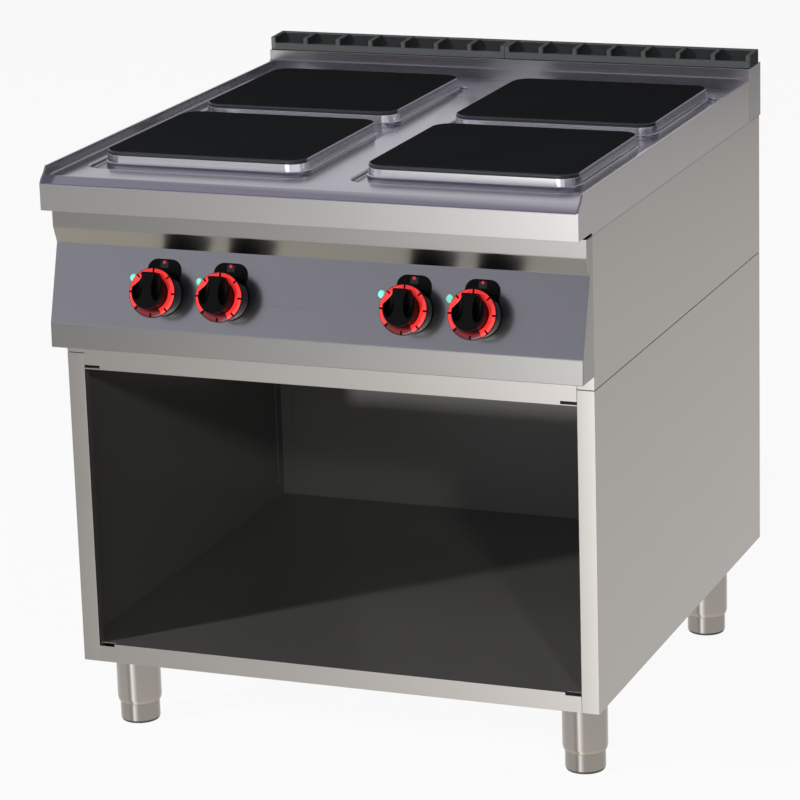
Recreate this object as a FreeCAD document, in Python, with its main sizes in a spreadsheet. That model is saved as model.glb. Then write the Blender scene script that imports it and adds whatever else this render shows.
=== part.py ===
import FreeCAD, Part
import math
import os
import Sketcher

# Free-standing electric cooker, 800 mm wide: a boiling top with four square hot plates on
# an open base. +Z is up, the front faces -Y and X runs to the right. The origin lies on the
# floor under the middle of the object's box. Inside a sub-part, y is counted from the front
# face of the base; its Placement then brings it to the object's frame.

Vector = FreeCAD.Vector
document = FreeCAD.newDocument("cooker")


# Driving sizes in millimetres and degrees: name, value, what it is
SIZE_TABLE = [
    ("width", 800, "overall width"),
    ("side_depth", 834, "front face to back edge of the side panels"),
    ("sheet", 1.5, "thickness of the stainless sheet"),
    ("overrun", 5, "how far a cut runs past what it cuts"),
    ("loose_gap", 0.3, "clearance between pieces that lie or move side by side"),
    ("running_gap", 0.05, "radial clearance of a shaft in its hole"),
    ("push_gap", 0.1, "clearance round a piece that is pushed into place"),
    ("foot_show", 32, "length of foot that shows under the leg"),
    ("foot_radius", 29.5, "outside radius of the foot"),
    ("foot_travel", 30, "how far the foot screws out"),
    ("foot_hold", 4, "length of foot left in the leg when it is screwed out"),
    ("stem_radius", 8, "radius of the foot's stem"),
    ("stem_hold", 2, "length of stem left above the nut when it is screwed out"),
    ("nut_depth", 8, "depth of the nut plate welded inside the leg"),
    ("leg_radius", 33, "outside radius of the leg tube"),
    ("leg_wall", 2, "wall of the leg tube"),
    ("leg_length", 83, "leg tube below the base"),
    ("leg_inset", 48.5, "side face to the leg's axis"),
    ("leg_front", 80, "front face to the front legs' axes"),
    ("leg_back", 68, "back panel of the bay to the back legs' axes"),
    ("leg_plate_width", 100, "width of the plate over a leg"),
    ("leg_plate_margin", 27, "plate beyond the leg tube, along the depth"),
    ("leg_plate_thick", 3, "thickness of the plate over a leg"),
    ("base_height", 471.5, "height of the base module"),
    ("stile_width", 26, "width of the front stile of a side panel"),
    ("stile_return", 15, "depth of the fold behind the stile"),
    ("flange", 10, "width of the side panels' top and bottom flanges"),
    ("floor_rise", 28.5, "base underside to the top of its floor"),
    ("apron_return", 20, "depth of the fold under the front apron"),
    ("bay_setback", 74, "back edge of the side panels to the back panel of the bay"),
    ("rail_drop", 23.5, "top of the base to the lower edge of the top rail"),
    ("rail_height", 37, "height of the top rail"),
    ("rail_return", 30, "depth of the fold under the top rail"),
    ("hinge_slot_width", 24, "width of a door hinge slot"),
    ("hinge_slot_height", 4, "height of a door hinge slot"),
    ("hinge_slot_depth", 6, "depth of the slot cut into the floor"),
    ("hinge_slot_rise", 2, "lower edge of the top rail to its slots"),
    ("corner_strip", 22, "width of the strips in the bay's back corners"),
    ("corner_strip_foot", 25, "floor of the bay to the foot of a corner strip"),
    ("upper_height", 218.5, "height of the upper module's side panels"),
    ("seam_gap", 0.8, "open seam between the two modules"),
    ("shield_rise", 182, "bottom of the upper module to the heat shield"),
    ("shield_inset", 60, "front face to the heat shield"),
    ("shield_flange", 20, "height of the heat shield's side flanges"),
    ("panel_rise", 20, "top of the base to the underside of the control panel"),
    ("panel_band", 35.5, "height of the upright band at the panel's foot"),
    ("panel_lip", 48.5, "reach of the panel's lower front edge"),
    ("panel_band_lean", 1, "how far the upright band leans back at its top"),
    ("face_length", 116, "length of the sloping face"),
    ("face_tilt", 16.8, "lean of the sloping face from upright, in degrees"),
    ("panel_brow", 24, "reach of the panel's top edge"),
    ("panel_brow_height", 27, "height of the upright strip at the panel's top"),
    ("axis_rise", 51.8, "lower end of the sloping face to the knob axes"),
    ("lip_reach", 58, "reach of the worktop's front lip"),
    ("lip_lift", 4, "side panels' top to the lip's lower edge"),
    ("lip_height", 39, "height of the lip's upright face"),
    ("lip_return", 50, "depth of the fold under the lip"),
    ("nose_radius", 2.5, "rounding of the lip's nose"),
    ("ramp_run", 26, "depth of the ramp from the nose up to the deck"),
    ("skirt_height", 65, "side panels' top to the worktop's rim"),
    ("rim_rise", 15, "deck to the top of the rim"),
    ("rim_thick", 3, "thickness of the rim"),
    ("rim_run", 20.4, "depth of the rim's slope down to the nose"),
    ("rim_fillet", 2.5, "rounding between rim and deck"),
    ("back_rim_rise", 3, "how much higher the back rim is than the side rims"),
    ("well_depth", 6.5, "depth of the pressed wells"),
    ("well_inner", 33, "middle of the cooker to a well's inner edge"),
    ("well_side", 30, "side face to a well's outer edge"),
    ("well_front", 27, "front face to the wells' front edge"),
    ("well_back", 59.5, "upstand to the wells' back edge"),
    ("well_corner", 25, "corner radius of a well"),
    ("plate_side_gap", 12.5, "side edge of a well to its plates"),
    ("plate_front_gap", 31.5, "front edge of a well to its front plate"),
    ("plate_back_gap", 5, "back edge of a well to its back plate"),
    ("plate_row_gap", 54, "front plate of a well to its back plate"),
    ("plate_corner", 28, "corner radius of a hot plate"),
    ("plate_rim", 6, "depth of a hot plate's rim"),
    ("plate_lift", 24.5, "floor of the well to the plate's face"),
    ("plate_bevel", 1.5, "bevel round a hot plate's top edge"),
    ("body_inset", 9, "rim of a hot plate to its body"),
    ("body_corner", 12, "cut across the corners of a hot plate's body"),
    ("body_wall", 12, "wall of a hot plate's body"),
    ("body_hollow", 10, "depth of the hollow under a hot plate"),
    ("boss_width", 32, "width of the boss round the stud"),
    ("stud_radius", 4, "radius of the clamping stud"),
    ("trim_thick", 1.2, "thickness of the trim"),
    ("trim_step", 2.5, "how far the trim's foot stands out"),
    ("trim_foot_height", 7.5, "height of the trim's foot"),
    ("opening_inset", 7, "edge of a plate to its opening in the worktop"),
    ("cover_depth", 10, "depth of the dish under a hot plate"),
    ("cover_thick", 1, "thickness of the dish"),
    ("terminal_length", 40, "length of a plate's terminal block"),
    ("terminal_width", 22, "width of a plate's terminal block"),
    ("terminal_height", 15, "height of a plate's terminal block"),
    ("terminal_offset", 75, "stud to the terminal block"),
    ("bar_thick", 3, "thickness of a clamp bar"),
    ("bar_width", 24, "width of a clamp bar"),
    ("bar_drop", 27, "height of a clamp bar's ends"),
    ("bar_reach", 12, "clamp bar beyond the opening"),
    ("nut_height", 6.5, "height of a stud's nut"),
    ("nut_radius", 7.5, "corner radius of a stud's nut"),
    ("stud_spare", 3, "length of stud below its nut"),
    ("upstand_depth", 65, "depth of the flue box"),
    ("upstand_overhang", 8, "flue box behind the side panels"),
    ("upstand_rise", 18, "flue box above the worktop's rim"),
    ("grille_inset", 6, "front of the flue box to the grilles"),
    ("grille_depth", 48, "depth of a vent grille"),
    ("grille_front", 20, "height of a vent grille at its front"),
    ("grille_back", 22, "height of a vent grille at its back"),
    ("grille_post", 7, "width of the posts between two pockets"),
    ("grille_bar", 5, "thickness of a grille's front and back bars"),
    ("grille_sill", 10.5, "height of a grille's front bar"),
    ("grille_floor", 3, "thickness of a grille's floor at its front"),
    ("grille_slot", 11, "depth of the slot in a pocket's floor"),
    ("grille_seat", 7, "flange that carries the grilles"),
    ("bezel_thick", 3, "thickness of a bezel"),
    ("bezel_radius", 32, "radius of a bezel round the axis"),
    ("bezel_tab_width", 55, "width of a bezel's tab"),
    ("bezel_tab_rise", 51.5, "knob axis to the top of the tab"),
    ("bezel_corner", 15, "corner radius of the tab"),
    ("bezel_hole", 8, "radius of the bezel's hole"),
    ("knob_skirt_radius", 33, "radius of a knob's skirt, behind its ring"),
    ("knob_lift", 0.8, "bezel to the knob's skirt"),
    ("knob_core_radius", 24, "radius of a knob's core at the ring"),
    ("knob_front_radius", 21.5, "radius of a knob's front face"),
    ("knob_front", 52.5, "panel to the knob's front face"),
    ("knob_bevel", 2, "bevel round a knob's front face"),
    ("pointer_width", 20, "width of the grip's pointing end"),
    ("pointer_reach", 27, "axis to the grip's pointing end"),
    ("pointer_gap", 0.8, "grip's pointing end above the ring"),
    ("grip_hollow_radius", 12, "radius of the finger hollows beside the grip"),
    ("grip_hollow_side", 18.5, "axis to the middle of a finger hollow"),
    ("grip_hollow_rise", 8, "axis to where a hollow's middle leaves the face"),
    ("grip_hollow_slope", 24.2, "slope of the finger hollows, in degrees"),
    ("ring_radius", 35.25, "outside radius of the scale ring"),
    ("ring_back", 30, "panel to the back of the scale ring"),
    ("ring_thick", 5, "thickness of the scale ring"),
    ("lamp_radius", 6, "radius of a pilot lamp's lens"),
    ("lamp_crown", 4.5, "radius of a lens at its top"),
    ("lamp_out", 3.2, "how far a lens stands out"),
    ("lamp_stem_radius", 5, "radius of a pilot lamp's stem"),
    ("lamp_stem", 18, "length of a pilot lamp's stem"),
    ("lamp_side", 46, "knob axis to its lamp, sideways"),
    ("lamp_rise", 20.5, "knob axis to its lamp, up the face"),
    ("switch_size", 44, "width and height of a switch"),
    ("switch_depth", 38, "depth of a switch"),
    ("bush_radius", 6, "radius of a switch's bush"),
    ("bush_out", 2, "how far the bush stands out of the panel"),
    ("shaft_radius", 3, "radius of a switch's shaft"),
    ("shaft_in", 25, "length of shaft inside the switch"),
    ("shaft_out", 30, "length of shaft outside the panel"),
    ("shaft_end_gap", 0.6, "end of the shaft to the bottom of its hole"),
    ("block_length", 70, "length of the mains terminal block"),
    ("block_width", 35, "width of the mains terminal block"),
    ("block_height", 25, "height of the mains terminal block"),
    ("block_setback", 94, "back edge of the side panels to the terminal block"),
    ("service_inset", 100, "side face to the cable gland and the earth stud"),
    ("gland_setback", 37, "back edge of the side panels to the gland's axis"),
    ("gland_bore", 7, "radius of the gland's bore"),
    ("gland_thread", 11, "radius of the gland's thread"),
    ("gland_hex", 15, "corner radius of the gland's hexagons"),
    ("gland_nut", 5, "thickness of the gland's lock nut"),
    ("gland_collar", 7, "height of the gland's collar"),
    ("gland_tip", 16, "length of the gland's cap below its collar"),
    ("gland_tip_radius", 12.5, "corner radius of the gland's cap"),
    ("earth_radius", 3, "radius of the earth stud"),
    ("earth_length", 18, "length of the earth stud"),
    ("earth_collar", 6, "radius of the earth stud's collar"),
    ("earth_collar_thick", 3, "thickness of the earth stud's collar"),
    ("earth_drop", 46, "top of the base to the earth stud"),
]

# Knob axes across the panel, as shares of the overall width from its middle
KNOB_SHARES = (-0.285, -0.1575, 0.18625, 0.31125)

# Slope at the front end of the rim: shares of its run and of its rise above the nose
RIM_SLOPE_SHARES = ((0.2, 0.27), (0.64, 0.59), (1, 1))

POCKET_COUNT = 7
FULL_TURN = 360
RIGHT_ANGLE = 90

# Two coordinates nearer than this are the same, in millimetres
HAIR = 0.001


class Size:
    """A size: its value now, and the words that tie it to the sheet."""

    def __init__(self, value, words):
        self.value = float(value)
        self.words = words

    def __add__(self, other):
        other = as_size(other)
        return Size(self.value + other.value, f"({self.words} + {other.words})")

    def __sub__(self, other):
        other = as_size(other)
        return Size(self.value - other.value, f"({self.words} - {other.words})")

    def __mul__(self, factor):
        factor = as_size(factor)
        return Size(self.value * factor.value, f"({self.words} * {factor.words})")

    def __truediv__(self, divisor):
        divisor = as_size(divisor)
        return Size(self.value / divisor.value, f"({self.words} / {divisor.words})")

    def __neg__(self):
        return self * -1


def as_size(number):
    """Wraps a plain number, such as a zero, a sign or a share."""
    if isinstance(number, Size):
        return number
    return Size(number, f"({float(number)!r})")


def sine(angle):
    """Sine of an angle in degrees."""
    return Size(math.sin(math.radians(angle.value)), f"sin({angle.words})")


def cosine(angle):
    """Cosine of an angle in degrees."""
    return Size(math.cos(math.radians(angle.value)), f"cos({angle.words})")


class Sheet:
    """The sheet of driving sizes; each of its names is read as an attribute."""

    def __init__(self, table):
        cells = document.addObject("Spreadsheet::Sheet", "Sizes")
        for row, (alias, value, meaning) in enumerate(table, start=1):
            cells.set(f"A{row}", meaning)
            cells.set(f"B{row}", str(value))
            cells.setAlias(f"B{row}", alias)
            setattr(self, alias, Size(value, f"Sizes.{alias}"))
        document.recompute()


size = Sheet(SIZE_TABLE)
zero = as_size(0)

# Levels and places worked out from the driving sizes
half_width = size.width / 2
inner_side = half_width - size.sheet
stile_edge = half_width - size.stile_width
base_low = size.foot_show + size.leg_length
base_top = base_low + size.base_height
bay_floor = base_low + size.floor_rise
bay_depth = size.side_depth - size.bay_setback
service_side = half_width - size.service_inset
upper_low = base_top + size.seam_gap
upper_top = base_top + size.upper_height
inside_depth = size.side_depth - size.sheet

face_sine = sine(size.face_tilt)
face_cosine = cosine(size.face_tilt)
panel_low = base_top + size.panel_rise
face_foot_y = size.panel_band_lean - size.panel_lip
face_foot_z = panel_low + size.panel_band
face_head_y = face_foot_y + size.face_length * face_sine
face_head_z = face_foot_z + size.face_length * face_cosine
brow_z = upper_top - size.panel_brow_height
axis_y = face_foot_y + size.axis_rise * face_sine
axis_z = face_foot_z + size.axis_rise * face_cosine
knob_places = [size.width * share for share in KNOB_SHARES]

lip_low = upper_top + size.lip_lift
nose_z = lip_low + size.lip_height
rim_top = upper_top + size.skirt_height
deck_z = rim_top - size.rim_rise
well_floor = deck_z - size.well_depth
upstand_back = size.side_depth + size.upstand_overhang
upstand_front = upstand_back - size.upstand_depth
worktop_back = upstand_front - size.loose_gap
well_outer = half_width - size.well_side
well_end = upstand_front - size.well_back
well_width = well_outer - size.well_inner
well_length = well_end - size.well_front
upstand_top = rim_top + size.upstand_rise

plate_gaps = size.plate_front_gap + size.plate_row_gap + size.plate_back_gap
plate_width = well_width - size.plate_side_gap * 2
plate_depth = (well_length - plate_gaps) / 2
plate_centre = size.well_inner + well_width / 2
plate_front = size.well_front + size.plate_front_gap + plate_depth / 2
plate_pitch = plate_depth + size.plate_row_gap
plate_top = well_floor + size.plate_lift
plate_seat = plate_top - size.plate_rim
plate_underside = well_floor + size.loose_gap
cover_low = plate_underside - size.cover_depth
bar_top = well_floor - size.sheet
bar_low = bar_top - size.bar_drop
stud_low = bar_low - size.nut_height - size.stud_spare

# The knobs' lowest front edge is the foremost point of the cooker, the flue box the rearmost
knob_edge_out = size.knob_front * face_cosine
knob_edge_down = (size.knob_front_radius - size.knob_bevel) * face_sine
knob_reach = knob_edge_out + knob_edge_down - axis_y
front_y = (knob_reach - upstand_back) / 2


def bind(thing, name, value):
    """Ties one property of an object to the sheet."""
    thing.setExpression(name, value.words)


def place(thing, x=zero, y=zero, z=zero, tip=None):
    """Puts a sub-part at x, y from the front face and z, leaned back about X by an angle."""
    if tip is not None:
        turn = FreeCAD.Rotation(Vector(1, 0, 0), tip)
        thing.Placement = FreeCAD.Placement(Vector(0, 0, 0), turn)
    bind(thing, "Placement.Base.x", x)
    bind(thing, "Placement.Base.y", y + front_y)
    bind(thing, "Placement.Base.z", z)
    return thing


def new_body(name):
    """An empty body with its own label."""
    body = document.addObject("PartDesign::Body", name)
    body.Label = name
    return body


def sketch_on(body, role, level=zero):
    """A sketch on one of the body's origin planes, moved along the plane's normal."""
    sketch = body.newObject("Sketcher::SketchObject", body.Label + "_sketch")
    plane = [item for item in body.Origin.OriginFeatures if item.Role == role][0]
    sketch.AttachmentSupport = [(plane, "")]
    sketch.MapMode = "FlatFace"
    bind(sketch, "AttachmentOffset.Base.z", level)
    return sketch


def hold(sketch, geometry, point, spot):
    """Ties a point of a sketch to its two distances from the sketch's origin."""
    for kind, distance in zip(("DistanceX", "DistanceY"), spot):
        constraint = Sketcher.Constraint(kind, -1, 1, geometry, point, distance.value)
        index = sketch.addConstraint(constraint)
        sketch.setExpression(f"Constraints[{index}]", distance.words)


def hold_radius(sketch, geometry, radius):
    """Ties the radius of a circle or an arc."""
    index = sketch.addConstraint(Sketcher.Constraint("Radius", geometry, radius.value))
    sketch.setExpression(f"Constraints[{index}]", radius.words)


def polygon(sketch, corners):
    """Draws a closed outline of straight lines; each corner is a pair of sizes."""
    first = sketch.GeometryCount
    count = len(corners)
    spots = [Vector(across.value, along.value, 0) for across, along in corners]
    for index in range(count):
        line = Part.LineSegment(spots[index], spots[(index + 1) % count])
        sketch.addGeometry(line, False)
    for index, corner in enumerate(corners):
        follower = first + (index + 1) % count
        sketch.addConstraint(Sketcher.Constraint("Coincident", first + index, 2, follower, 1))
        hold(sketch, first + index, 1, corner)


def rectangle(sketch, left, right, low, high):
    """Draws a rectangle with sharp corners."""
    polygon(sketch, [(left, low), (right, low), (right, high), (left, high)])


def circle(sketch, across, along, radius):
    """Draws a circle."""
    centre = Vector(across.value, along.value, 0)
    round_line = Part.Circle(centre, Vector(0, 0, 1), radius.value)
    index = sketch.addGeometry(round_line, False)
    hold(sketch, index, 3, (across, along))
    hold_radius(sketch, index, radius)


def hexagon(sketch, across, along, radius):
    """Draws a hexagon with a corner on the X axis."""
    corners = []
    for corner in range(6):
        angle = math.radians(FULL_TURN / 6 * corner)
        corners.append((across + radius * math.cos(angle), along + radius * math.sin(angle)))
    polygon(sketch, corners)


def cut_rectangle(sketch, left, right, low, high, cut):
    """Draws a rectangle with a straight cut across each corner."""
    polygon(sketch, [
        (left + cut, low),
        (right - cut, low),
        (right, low + cut),
        (right, high - cut),
        (right - cut, high),
        (left + cut, high),
        (left, high - cut),
        (left, low + cut),
    ])


def rounded_rectangle(sketch, left, right, low, high, radius):
    """Draws a rectangle whose corners are tangent arcs."""
    first = sketch.GeometryCount
    centres = [
        (left + radius, low + radius),
        (right - radius, low + radius),
        (right - radius, high - radius),
        (left + radius, high - radius),
    ]
    starts = [math.radians(RIGHT_ANGLE * (2 + corner)) for corner in range(4)]
    reach = radius.value
    for (across, along), start in zip(centres, starts):
        centre = Vector(across.value, along.value, 0)
        whole = Part.Circle(centre, Vector(0, 0, 1), reach)
        arc = Part.ArcOfCircle(whole, start, start + math.radians(RIGHT_ANGLE))
        sketch.addGeometry(arc, False)
    arcs = [sketch.Geometry[first + corner] for corner in range(4)]
    for corner in range(4):
        line = Part.LineSegment(arcs[corner].EndPoint, arcs[(corner + 1) % 4].StartPoint)
        sketch.addGeometry(line, False)
    for corner in range(4):
        line = first + 4 + corner
        follower = first + (corner + 1) % 4
        sketch.addConstraint(Sketcher.Constraint("Tangent", first + corner, 2, line, 1))
        sketch.addConstraint(Sketcher.Constraint("Tangent", line, 2, follower, 1))
        hold(sketch, first + corner, 3, centres[corner])
        hold_radius(sketch, first + corner, radius)


def extrude(body, kind, sketch, length, reverse=False, both=False):
    """Adds a pad or a pocket that follows the sketch's normal, or runs both ways."""
    feature = body.newObject(kind, body.Label + "_feature")
    feature.Profile = sketch
    bind(feature, "Length", length)
    feature.Reversed = reverse
    if both:
        feature.SideType = "Symmetric"
    return feature


def pad(body, sketch, length, reverse=False, both=False):
    """Adds material."""
    return extrude(body, "PartDesign::Pad", sketch, length, reverse, both)


def pocket(body, sketch, length, reverse=False, both=False):
    """Takes material away, against the sketch's normal unless it is reversed."""
    return extrude(body, "PartDesign::Pocket", sketch, length, reverse, both)


def revolve(body, corners):
    """Turns an outline of radius and height once round the Z axis."""
    sketch = sketch_on(body, "XZ_Plane")
    polygon(sketch, corners)
    turned = body.newObject("PartDesign::Revolution", body.Label + "_turned")
    turned.Profile = sketch
    turned.ReferenceAxis = (sketch, ["V_Axis"])
    turned.Angle = FULL_TURN
    return turned


def ease_edges(body, kind, name, amount, chosen):
    """Rounds or bevels the edges of the body that the test chooses."""
    document.recompute()
    last = body.Tip
    edges = [f"Edge{number}" for number, edge in enumerate(last.Shape.Edges, start=1)
             if chosen(edge.BoundBox)]
    easing = body.newObject(kind, body.Label + "_easing")
    easing.Base = (last, edges)
    bind(easing, name, amount)
    return easing


def round_edges(body, radius, chosen):
    """Rounds the chosen edges."""
    return ease_edges(body, "PartDesign::Fillet", "Radius", radius, chosen)


def bevel_edges(body, width, chosen):
    """Bevels the chosen edges."""
    return ease_edges(body, "PartDesign::Chamfer", "Size", width, chosen)


def near(one, other):
    """True where two coordinates are the same to a hair."""
    return abs(one - other) < HAIR


def level_at(box, height):
    """True for an edge that lies flat at a height."""
    return near(box.ZMin, height.value) and near(box.ZMax, height.value)


def copies(name, pattern, places, tip=None):
    """One node of separate solids: the pattern piece linked at each place."""
    links = []
    for index, (x, y, z) in enumerate(places):
        link = document.addObject("App::Link", f"{name}_{index + 1}")
        link.LinkedObject = pattern
        links.append(place(link, x, y, z, tip))
    group = document.addObject("Part::Compound", name)
    group.Label = name
    group.Links = links
    return group


def foot(name, x, y):
    """Adjustable foot: a sleeve in the leg, with a stem up through its nut."""
    body = new_body(name)
    shoulder = size.foot_show + size.foot_travel + size.foot_hold
    stem_top = shoulder + size.loose_gap + size.nut_depth + size.foot_travel + size.stem_hold
    revolve(body, [
        (zero, zero),
        (size.foot_radius, zero),
        (size.foot_radius, shoulder),
        (size.stem_radius, shoulder),
        (size.stem_radius, stem_top),
        (zero, stem_top),
    ])
    return place(body, x, y)


def leg_tube():
    """Leg: a tube welded under the base, with the foot's nut plate inside."""
    body = new_body("leg_tube_pattern")
    bore = size.leg_radius - size.leg_wall
    nut_low = size.foot_show + size.foot_travel + size.foot_hold + size.loose_gap
    nut_top = nut_low + size.nut_depth
    top = base_low + size.sheet
    thread = size.stem_radius + size.running_gap
    revolve(body, [
        (bore, size.foot_show),
        (size.leg_radius, size.foot_show),
        (size.leg_radius, top),
        (bore, top),
        (bore, nut_top),
        (thread, nut_top),
        (thread, nut_low),
        (bore, nut_low),
    ])
    return body


def leg_plates():
    """Four plates welded on the flanges, each over one leg and open above its stem."""
    side_x = half_width - size.leg_inset
    reach = size.leg_radius + size.leg_plate_margin
    back_leg = bay_depth - size.leg_back
    rows = [
        (size.stile_return, size.leg_front + reach, size.leg_front),
        (back_leg - reach, bay_depth, back_leg),
    ]
    clear = size.stem_radius + size.stem_hold
    body = new_body("leg_plates")
    sketch = sketch_on(body, "XY_Plane", base_low + size.sheet)
    for low, high, leg_y in rows:
        for side in (-1, 1):
            edges = sorted((inner_side * side, (inner_side - size.leg_plate_width) * side),
                           key=lambda edge: edge.value)
            rectangle(sketch, edges[0], edges[1], low, high)
            stem_x = side_x * side
            rectangle(sketch, stem_x - clear, stem_x + clear, leg_y - clear, leg_y + clear)
    pad(body, sketch, size.leg_plate_thick)
    return place(body)


def side_panel(name, side, low, high):
    """Side of a module: a folded sheet with a front stile and flanges at top and bottom."""
    body = new_body(name)
    sketch = sketch_on(body, "XY_Plane", low)
    fold = stile_edge + size.sheet
    polygon(sketch, [(x * side, y) for x, y in [
        (half_width, zero),
        (half_width, size.side_depth),
        (inner_side, size.side_depth),
        (inner_side, size.sheet),
        (fold, size.sheet),
        (fold, size.stile_return),
        (stile_edge, size.stile_return),
        (stile_edge, zero),
    ]])
    pad(body, sketch, high - low)
    for level in (low, high - size.sheet):
        flange_sketch = sketch_on(body, "XY_Plane", level)
        polygon(flange_sketch, [(x * side, y) for x, y in [
            (inner_side, size.stile_return),
            (inner_side, inside_depth),
            (inner_side - size.flange, inside_depth),
            (inner_side - size.flange, size.stile_return),
        ]])
        pad(body, flange_sketch, size.sheet)
    return place(body)


def base_floor():
    """Floor of the bay with its front apron, which has a hinge slot at each end."""
    body = new_body("base_floor")
    floor_low = bay_floor - size.sheet
    profile = sketch_on(body, "YZ_Plane")
    polygon(profile, [
        (zero, base_low),
        (zero, bay_floor),
        (bay_depth, bay_floor),
        (bay_depth, floor_low),
        (size.sheet, floor_low),
        (size.sheet, base_low + size.sheet),
        (size.apron_return, base_low + size.sheet),
        (size.apron_return, base_low),
    ])
    pad(body, profile, stile_edge * 2, both=True)
    wide = sketch_on(body, "XY_Plane", floor_low)
    rectangle(wide, -inner_side, inner_side, size.stile_return, bay_depth)
    pad(body, wide, size.sheet)
    slots = sketch_on(body, "XZ_Plane")
    slot_low = bay_floor - size.hinge_slot_height
    slot_start = stile_edge - size.hinge_slot_width
    rectangle(slots, slot_start, stile_edge, slot_low, bay_floor)
    rectangle(slots, -stile_edge, -slot_start, slot_low, bay_floor)
    pocket(body, slots, size.hinge_slot_depth)
    return place(body)


def base_top_rail():
    """Rail over the bay's mouth: a folded strip with a hinge slot at each end."""
    body = new_body("base_top_rail")
    low = base_top - size.rail_drop
    high = low + size.rail_height
    profile = sketch_on(body, "YZ_Plane")
    polygon(profile, [
        (zero, low),
        (zero, high),
        (size.sheet, high),
        (size.sheet, low + size.sheet),
        (size.rail_return, low + size.sheet),
        (size.rail_return, low),
    ])
    pad(body, profile, stile_edge * 2, both=True)
    slots = sketch_on(body, "XZ_Plane")
    slot_low = low + size.hinge_slot_rise
    slot_high = slot_low + size.hinge_slot_height
    slot_start = stile_edge - size.hinge_slot_width
    rectangle(slots, slot_start, stile_edge, slot_low, slot_high)
    rectangle(slots, -stile_edge, -slot_start, slot_low, slot_high)
    pocket(body, slots, size.sheet * 2)
    return place(body)


def base_back_panel():
    """Back wall of the bay, set forward of the side panels' back edges."""
    body = new_body("base_back_panel")
    sketch = sketch_on(body, "XY_Plane", base_low + size.sheet)
    back = bay_depth + size.sheet
    rectangle(sketch, -inner_side, inner_side, bay_depth, back)
    pad(body, sketch, size.base_height - size.sheet * 2)
    return place(body)


def base_corner_strips():
    """Two angle strips in the back corners of the bay."""
    body = new_body("base_corner_strips")
    low = bay_floor + size.corner_strip_foot
    sketch = sketch_on(body, "XY_Plane", low)
    front = bay_depth - size.corner_strip
    inner = inner_side - size.corner_strip
    for side in (-1, 1):
        polygon(sketch, [(x * side, y) for x, y in [
            (inner_side, front),
            (inner_side, bay_depth),
            (inner, bay_depth),
            (inner, bay_depth - size.sheet),
            (inner_side - size.sheet, bay_depth - size.sheet),
            (inner_side - size.sheet, front),
        ]])
    pad(body, sketch, base_top - size.sheet - low)
    return place(body)


def upper_bottom_panel():
    """Bottom of the upper module: it lies on the base, and the gland passes through it."""
    body = new_body("upper_bottom_panel")
    sketch = sketch_on(body, "XY_Plane", base_top)
    polygon(sketch, [
        (-stile_edge, size.sheet),
        (stile_edge, size.sheet),
        (stile_edge, size.stile_return),
        (inner_side, size.stile_return),
        (inner_side, inside_depth),
        (-inner_side, inside_depth),
        (-inner_side, size.stile_return),
        (-stile_edge, size.stile_return),
    ])
    gland_y = size.side_depth - size.gland_setback
    circle(sketch, service_side, gland_y, size.gland_thread + size.push_gap)
    pad(body, sketch, size.seam_gap)
    return place(body)


def upper_back_panel():
    """Back of the upper module, between the side panels."""
    body = new_body("upper_back_panel")
    sketch = sketch_on(body, "XY_Plane", upper_low)
    rectangle(sketch, -inner_side, inner_side, inside_depth, size.side_depth)
    pad(body, sketch, upper_top - upper_low)
    return place(body)


def heat_shield():
    """Tray between the hot plates and the switches, hung from the side panels."""
    body = new_body("heat_shield")
    low = base_top + size.shield_rise
    sketch = sketch_on(body, "XZ_Plane", -size.shield_inset)
    inner = inner_side - size.sheet
    polygon(sketch, [
        (-inner_side, low + size.shield_flange),
        (-inner_side, low),
        (inner_side, low),
        (inner_side, low + size.shield_flange),
        (inner, low + size.shield_flange),
        (inner, low + size.sheet),
        (-inner, low + size.sheet),
        (-inner, low + size.shield_flange),
    ])
    pad(body, sketch, bay_depth - size.shield_inset, reverse=True)
    return place(body)


def on_face(body):
    """A sketch on the sloping face, with its origin at the height of the knob axes."""
    sketch = sketch_on(body, "XY_Plane", axis_z)
    lean = RIGHT_ANGLE - size.face_tilt.value
    turn = FreeCAD.Rotation(Vector(1, 0, 0), lean)
    sketch.AttachmentOffset = FreeCAD.Placement(Vector(0, 0, 0), turn)
    bind(sketch, "AttachmentOffset.Base.y", axis_y)
    bind(sketch, "AttachmentOffset.Base.z", axis_z)
    return sketch


def control_panel():
    """Control panel: a hollow folded sheet that leans forward, open only at its back."""
    body = new_body("control_panel")
    profile = sketch_on(body, "YZ_Plane")
    polygon(profile, [
        (zero, panel_low),
        (-size.panel_lip, panel_low),
        (face_foot_y, face_foot_z),
        (face_head_y, face_head_z),
        (-size.panel_brow, brow_z),
        (-size.panel_brow, upper_top),
        (zero, upper_top),
    ])
    block = pad(body, profile, size.width, both=True)
    document.recompute()
    back = [f"Face{number}" for number, face in enumerate(block.Shape.Faces, start=1)
            if near(face.BoundBox.YMin, 0) and near(face.BoundBox.YMax, 0)]
    shell = body.newObject("PartDesign::Thickness", "control_panel_shell")
    shell.Base = (block, back)
    bind(shell, "Value", size.sheet)
    shell.Reversed = True
    shell.Join = "Intersection"
    document.recompute()
    holes = on_face(body)
    for x in knob_places:
        circle(holes, x, zero, size.bush_radius + size.push_gap)
        circle(holes, x - size.lamp_side, size.lamp_rise, size.lamp_stem_radius + size.push_gap)
    pocket(body, holes, size.sheet * 3, both=True)
    return place(body)


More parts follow.
